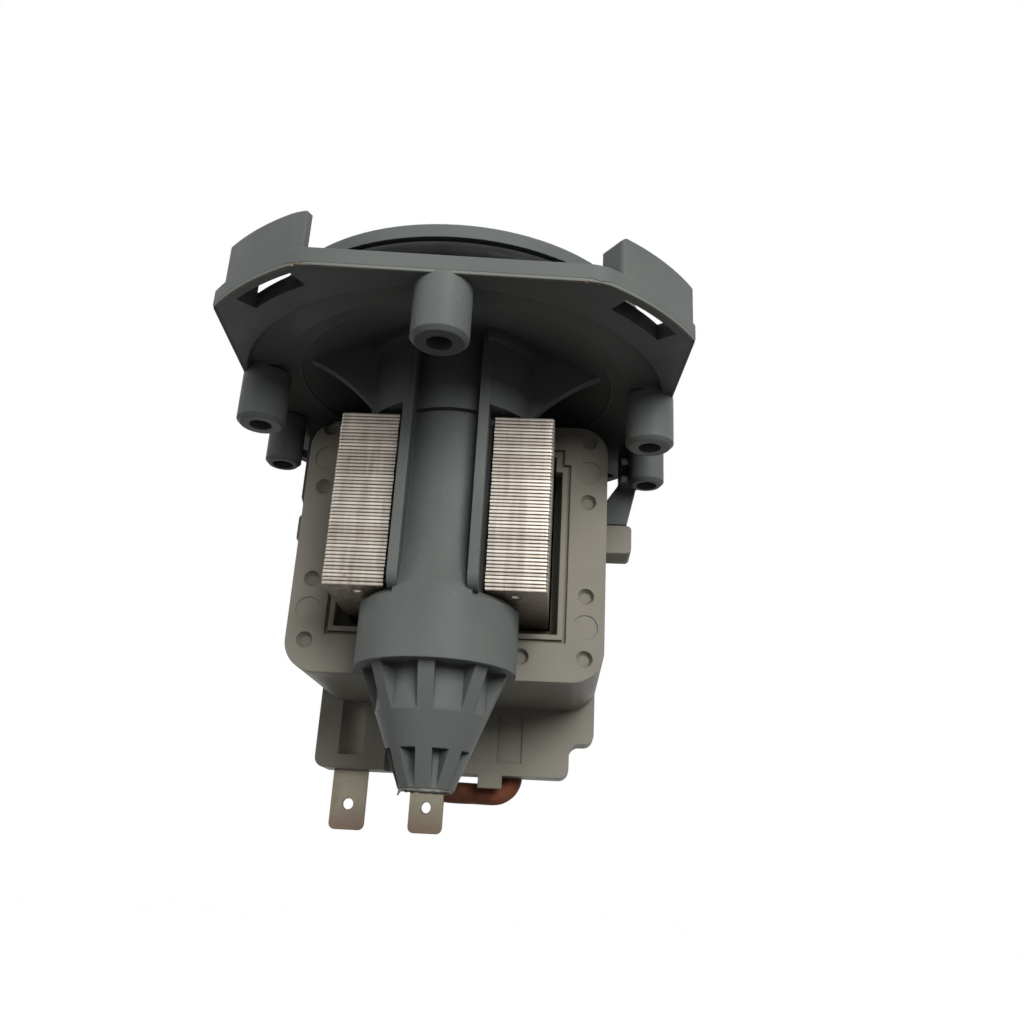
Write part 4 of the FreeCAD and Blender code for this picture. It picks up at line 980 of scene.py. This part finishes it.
@dataclass
class TerminalTab:
    """Flat push-on terminal with rounded lower corners, soft edges and a latching hole."""

    side: Side
    x: float
    turn: float
    y: float = 37.6
    root_z: float = -67.997
    half_width: float = 3.15
    half_thick: float = 0.4
    reach: float = 10.3
    hole_r: float = 0.95
    hole_rise: float = 4.4
    corner: float = 1.1
    edge: float = 0.13
    root_half: float = 2.3
    root_height: float = 8.0

    def build(self) -> Object:
        """Makes the blade: section points run over the front, round the edge, over the back and
        through the hole, for every direction out of the hole's middle; then the root bar.

        Returns:
            The terminal.
        """
        below, above = self.hole_rise, self.reach - self.hole_rise
        rim = rounded_rectangle(np.array([self.half_width]), np.array([(below + above) / 2]),
                                np.array([self.corner]), 9)[0]
        rim = self.spread(rim)
        rim[:, 1] += (above - below) / 2
        square = rim[:, 1] > above - self.corner
        rim[square, 0] = np.clip(rim[square, 0] * 1.6, -self.half_width, self.half_width)
        direction = rim / np.linalg.norm(rim, axis=1)[:, None]
        hole = direction * self.hole_r
        edge, thick = self.edge, self.half_thick
        rows = [(hole, thick - edge), (hole + direction * edge, thick), (rim - direction * edge, thick),
                (rim, thick - edge), (rim, edge - thick), (rim - direction * edge, -thick),
                (hole + direction * edge, -thick), (hole, edge - thick)]
        blade = np.stack([np.stack([flat[:, 0], np.full(len(flat), y), flat[:, 1]], axis=1)
                          for flat, y in rows])
        blade[:, :, 2] -= above
        tab = Surfaces("tab")
        tab.grid(self.place(blade), True, True)
        bar = rounded_rectangle(np.full(2, self.root_half), np.full(2, thick), np.full(2, edge), 3)
        height = np.array([-0.2, self.root_height])
        root = np.concatenate([bar, np.broadcast_to(height[:, None, None], bar.shape[:2] + (1,))], axis=2)
        root = self.place(root)
        tab.grid(root, False, True)
        tab.cap(root[0])
        tab.cap(root[1])
        name = "terminal_tab_" + self.side.name.lower()
        return show(name + "_blade", tab.mesh(35), TAB_TIN, Body.HOUSING, name)

    def spread(self, rim: np.ndarray) -> np.ndarray:
        """Adds points along the straight sides, so that the faces stay even."""
        parts = np.linspace(0, 1, 5)[:-1]
        following = np.roll(rim, -1, axis=0)
        long = np.linalg.norm(following - rim, axis=1) > 1.0
        dense = rim[:, None, :] + (following - rim)[:, None, :] * parts[None, :, None]
        keep = np.ones((len(rim), len(parts)), bool)
        keep[~long, 1:] = False
        return dense[keep]

    def place(self, points: np.ndarray) -> np.ndarray:
        """Turns points about the terminal's upright line and moves them to its place."""
        angle = math.radians(self.turn)
        turned = points.copy()
        turned[..., 0] = self.x + points[..., 0] * math.cos(angle) - points[..., 1] * math.sin(angle)
        turned[..., 1] = self.y + points[..., 0] * math.sin(angle) + points[..., 1] * math.cos(angle)
        turned[..., 2] += self.root_z
        return turned


@dataclass
class LeadLoop:
    """Sleeved lead that dips below the terminal block, with soft dents in its sleeve."""

    left_x: float = -4.0
    right_x: float = 10.4
    y: float = 40.2
    low_z: float = -70.897
    top_z: float = -64.997
    bend_r: float = 3.2
    radius: float = 1.88

    def build(self) -> Object:
        """Makes the sleeve as a tube along down, bend, across, bend and up again.

        Returns:
            The sleeve.
        """
        turn = np.linspace(0, np.pi / 2, 13)
        low, bend = self.low_z, self.bend_r
        rise = np.linspace(self.top_z, low + bend, 7)[:-1]
        across = np.linspace(self.left_x + bend, self.right_x - bend, 15)[1:-1]
        left, right = self.left_x + bend, self.right_x - bend
        first = np.stack([left - bend * np.cos(turn), low + bend - bend * np.sin(turn)], axis=1)
        last = np.stack([right + bend * np.sin(turn), low + bend - bend * np.cos(turn)], axis=1)
        flat = np.vstack([np.stack([np.full(6, self.left_x), rise], axis=1), first,
                          np.stack([across, np.full(13, low)], axis=1), last,
                          np.stack([np.full(6, self.right_x), rise[::-1]], axis=1)])
        along = np.gradient(flat, axis=0)
        along /= np.linalg.norm(along, axis=1)[:, None]
        centre = np.stack([flat[:, 0], np.full(len(flat), self.y), flat[:, 1]], axis=1)
        first_way = np.stack([-along[:, 1], np.zeros(len(flat)), along[:, 0]], axis=1)
        second_way = np.tile([0.0, 1.0, 0.0], (len(flat), 1))
        radius = self.radius - 0.09 * smooth_noise(len(flat), 8, 6)
        grid = ring_grid(centre, first_way, second_way, radius, 24)
        sleeve = Surfaces("lead_sleeve")
        sleeve.grid(grid, False, True)
        sleeve.cap(grid[0])
        sleeve.cap(grid[-1])
        return show("lead_sleeve", sleeve.mesh(), LEAD_BROWN, Body.HOUSING, "lead_loop")


@dataclass
class MouldFlash:
    """What the mould left: a fine ragged lip along the flange's lower edge, torn chips on it, and
    a ragged ring below the cone's tip."""

    flange: FlangeShape = field(default_factory=FlangeShape)
    chips: tuple[tuple[float, float, float, Finish], ...] = (
        (-16.9, -37.55, 0.5, CHIP_BROWN), (-17.7, -37.2, 0.3, FLASH_GREY), (19.9, -35.0, 0.55, CHIP_BROWN),
        (18.6, -35.1, 0.3, FLASH_GREY), (21.6, -34.6, 0.28, FLASH_GREY), (24.2, -33.3, 0.22, FLASH_GREY))
    tip_r: float = 3.86
    tip_z: float = -73.45
    burr_azimuth: float = 205.0

    def build(self) -> None:
        """Makes the lip, the chips and the ring."""
        self.edge_lip()
        for number, (x, y, size, finish) in enumerate(self.chips):
            self.chip(number, x, y, size, finish)
        self.tip_ring()

    def edge_lip(self) -> None:
        """Lip under the plate's edge: its section is a thin blade whose depth wanders."""
        steps = 720
        outer = self.flange.outline(0.1, steps)
        middle = self.flange.outline(0.16, steps)
        inner = self.flange.outline(0.62, steps)
        rough = smooth_noise(steps, 3, 3) * smooth_noise(steps, 4, 40)
        low = self.flange.plate_low
        depth = low - 0.03 - 0.16 * rough
        rows = [(outer, np.full(steps, low + 0.5)), (outer, np.full(steps, low + 0.12)), (middle, depth),
                (inner, np.full(steps, low - 0.01)), (inner, np.full(steps, low + 0.3))]
        lip = Surfaces("edge_lip")
        lip.grid(np.stack([np.column_stack([flat, z]) for flat, z in rows]), True, True)
        show("edge_lip", lip.mesh(), EDGE_GREY)

    def chip(self, number: int, x: float, y: float, size: float, finish: Finish) -> None:
        """Torn crumb: a ball squashed to a third, its radius uneven in both directions.

        Args:
            number: of the chip.
            x, y: its place under the edge.
            size: half its length.
            finish: what it is made of.
        """
        turn = np.linspace(0, 2 * np.pi, 18, endpoint=False)
        dip = np.linspace(0.05, np.pi - 0.05, 10)[:, None]
        rough = np.random.default_rng(30 + number).uniform(0.65, 1.0, (10, 18))
        radius = size * rough
        flat = radius * np.sin(dip)
        grid = np.stack([x + flat * np.cos(turn), y + 0.5 * flat * np.sin(turn),
                         self.flange.plate_low - 0.02 + 0.45 * radius * np.cos(dip)], axis=2)
        crumb = Surfaces("chip")
        crumb.grid(grid, False, True)
        crumb.cap(grid[0])
        crumb.cap(grid[-1])
        show("edge_chip_%d" % number, crumb.mesh(60), finish)

    def tip_ring(self) -> None:
        """Ragged ring below the cone's tip: its depth is uneven, with one long burr that leans out."""
        count = 120
        azimuth = np.linspace(0, 2 * np.pi, count, endpoint=False)
        away = np.abs((azimuth - math.radians(self.burr_azimuth) + np.pi) % (2 * np.pi) - np.pi)
        burr = np.exp(-(away / 0.16) ** 2)
        drop = 0.12 + 0.3 * smooth_noise(count, 11, 4) + 0.75 * burr
        lean = 0.25 * burr
        radius = self.tip_r + np.stack([np.zeros(count), lean, lean - 0.16, np.full(count, -0.3)])
        z = self.tip_z + np.stack([np.full(count, 0.08), -drop, -drop, np.full(count, 0.08)])
        grid = np.stack([radius * np.cos(azimuth), radius * np.sin(azimuth), z], axis=2)
        ring = Surfaces("tip_flash")
        ring.grid(grid, True, True)
        show("tip_flash", ring.mesh(), FLASH_GREY)


@dataclass
class Studio:
    """Camera of the photograph, pale floor, white surround and soft lamps. Metres."""

    eye: tuple[float, float, float] = (0.01805, -0.1404, -0.0831)
    right: tuple[float, float, float] = (0.9979, 0.0380, 0.0515)
    up: tuple[float, float, float] = (-0.0351, -0.3485, 0.9367)
    forward: tuple[float, float, float] = (-0.0535, 0.9365, 0.3463)
    lens: float = 33.82
    sensor: float = 36.0
    floor_level: float = -0.15
    floor_glow: float = 0.9
    surround: float = 0.085

    def build(self) -> None:
        """Makes the camera, the floor, the lamps and the world."""
        data = bpy.data.cameras.new("camera")
        data.lens, data.sensor_width = self.lens, self.sensor
        data.clip_start = 0.005
        camera = bpy.data.objects.new("camera", data)
        rows = [[r, u, -f, e] for r, u, f, e in zip(self.right, self.up, self.forward, self.eye)]
        camera.matrix_world = Matrix(rows + [[0, 0, 0, 1]])
        bpy.context.scene.collection.objects.link(camera)
        bpy.context.scene.camera = camera
        self.floor()
        self.lamp("key", (0.26, -0.62, 0.2), (0.0, 0.0, -0.03), 0.36, 4.9)
        self.lamp("side", (-0.6, -0.3, 0.14), (0.0, 0.0, -0.03), 0.4, 0.9)
        self.lamp("top", (0.0, 0.15, 0.6), (0.0, 0.0, 0.0), 0.5, 2.2)
        self.world()

    def floor(self) -> None:
        """Large pale floor below the part."""
        mesh = bpy.data.meshes.new("floor")
        reach = 6.0
        corners = [(x * reach, y * reach, self.floor_level) for x, y in ((-1, -1), (1, -1), (1, 1), (-1, 1))]
        mesh.from_pydata(corners, [], [(0, 1, 2, 3)])
        plane = bpy.data.objects.new("floor", mesh)
        bpy.context.scene.collection.objects.link(plane)
        graph = Graph("floor_pale")
        path = graph.tree.nodes.new("ShaderNodeLightPath")
        shown = graph.math("MAXIMUM", path.outputs["Is Camera Ray"], path.outputs["Is Transmission Ray"])
        shown = graph.math("MAXIMUM", shown, path.outputs["Is Glossy Ray"])
        seen = graph.math("MULTIPLY", shown, self.floor_glow)
        mottle = graph.span(graph.noise(3, 3), 0.3, 0.7, 0, 1)
        colour = graph.blend(mottle, (0.07, 0.07, 0.07, 1), (0.085, 0.085, 0.085, 1))
        graph.surface(Base_Color=colour, Roughness=0.9, Emission_Color=WHITE, Emission_Strength=seen)
        mesh.materials.append(graph.material)

    def lamp(self, name: str, place: tuple[float, float, float], aim: tuple[float, float, float],
             size: float, watts: float) -> None:
        """Square soft lamp that looks at a point.

        Args:
            name: the lamp's name.
            place, aim: where it stands and what it looks at.
            size: side of its square in metres.
            watts: its power.
        """
        data = bpy.data.lights.new(name, "AREA")
        data.size, data.energy = size, watts
        lamp = bpy.data.objects.new(name, data)
        lamp.location = place
        direction = np.array(aim) - np.array(place)
        yaw = math.atan2(direction[0], -direction[1])
        pitch = math.atan2(math.hypot(direction[0], direction[1]), -direction[2])
        lamp.rotation_euler = (pitch, 0, yaw + math.pi)
        bpy.context.scene.collection.objects.link(lamp)

    def world(self) -> None:
        """White surround for the camera and for reflections, dimmer as a light."""
        world = bpy.data.worlds.new("surround")
        world.use_nodes = True
        tree = world.node_tree
        tree.nodes.clear()
        path = tree.nodes.new("ShaderNodeLightPath")
        shown = path.outputs["Is Camera Ray"]
        for ray in ("Is Transmission Ray", "Is Glossy Ray"):
            either = tree.nodes.new("ShaderNodeMath")
            either.operation = "MAXIMUM"
            tree.links.new(shown, either.inputs[0])
            tree.links.new(path.outputs[ray], either.inputs[1])
            shown = either.outputs[0]
        level = tree.nodes.new("ShaderNodeMapRange")
        level.inputs["To Min"].default_value = self.surround
        level.inputs["To Max"].default_value = 1.0
        tree.links.new(shown, level.inputs["Value"])
        back = tree.nodes.new("ShaderNodeBackground")
        back.inputs["Color"].default_value = WHITE
        tree.links.new(level.outputs["Result"], back.inputs["Strength"])
        out = tree.nodes.new("ShaderNodeOutputWorld")
        tree.links.new(back.outputs[0], out.inputs["Surface"])
        bpy.context.scene.world = world
        bpy.context.scene.view_settings.view_transform = "Standard"


SKINS = [
    NodeSkin("coil_rear_cover", BOX_GREY, "coil_plastic"),
    NodeSkin("bobbin_left", BOBBIN_CREAM, "bobbin_plastic"),
    NodeSkin("bobbin_right", BOBBIN_CREAM, "bobbin_plastic"),
    NodeSkin("rear_bush", BUSH_BRONZE, "bush_bronze"),
    NodeSkin("rear_bush_rubber", SEAL_BLACK, "seal_rubber"),
    NodeSkin("front_bush", BUSH_BRONZE, "bush_bronze"),
    NodeSkin("bearing_cap", CAP_GREY, "cap_plastic"),
    NodeSkin("thrust_washer_front", WASHER_STEEL, "washer_steel"),
    NodeSkin("thrust_washer_rear", WASHER_STEEL, "washer_steel"),
    NodeSkin("shaft", SHAFT_STEEL, "shaft_steel", Body.ROTOR),
    NodeSkin("magnet_carrier", CARRIER_WHITE, "carrier_plastic", Body.ROTOR),
    NodeSkin("rotor_magnet", FERRITE, "ferrite", Body.ROTOR),
    NodeSkin("drive_dog", CARRIER_WHITE, "carrier_plastic", Body.ROTOR),
    NodeSkin("impeller", WHEEL_GREY, "impeller_plastic", Body.IMPELLER),
    NodeSkin("coupling_damper", SEAL_BLACK, "seal_rubber", Body.IMPELLER),
    NodeSkin("impeller_cap", WHEEL_GREY, "impeller_plastic", Body.IMPELLER),
]


def main() -> None:
    """Builds the studio and every piece."""
    logging.basicConfig(level=logging.INFO, format="%(message)s")
    Studio().build()
    flange = FlangeShape()
    cutters = [flange.edge_cutter(), flange.dish_cutter(), flange.groove_cutter()] + flange.hook_cutters()
    NodeSkin("rotor_housing", HOUSING_GREY, "housing_plastic", cutters=cutters).build()
    NodeSkin("coil_housing", BOX_GREY, "coil_plastic", cutters=EjectorDimples().cutters()).build()
    for skin in SKINS:
        skin.build()
    CordSeal("spigot_o_ring", 28.8, 3.5, -4.25).build()
    CordSeal("cap_o_ring", 8.35, 1.6, -9.4, 72).build()
    PoleStack().build()
    for side in Side:
        Winding(side).build()
    TerminalTab(Side.LEFT, -18.5, 0.0).build()
    TerminalTab(Side.RIGHT, -4.5, -12.0).build()
    LeadLoop().build()
    MouldFlash().build()
    bpy.context.view_layer.update()


if __name__ == "__main__":
    main()
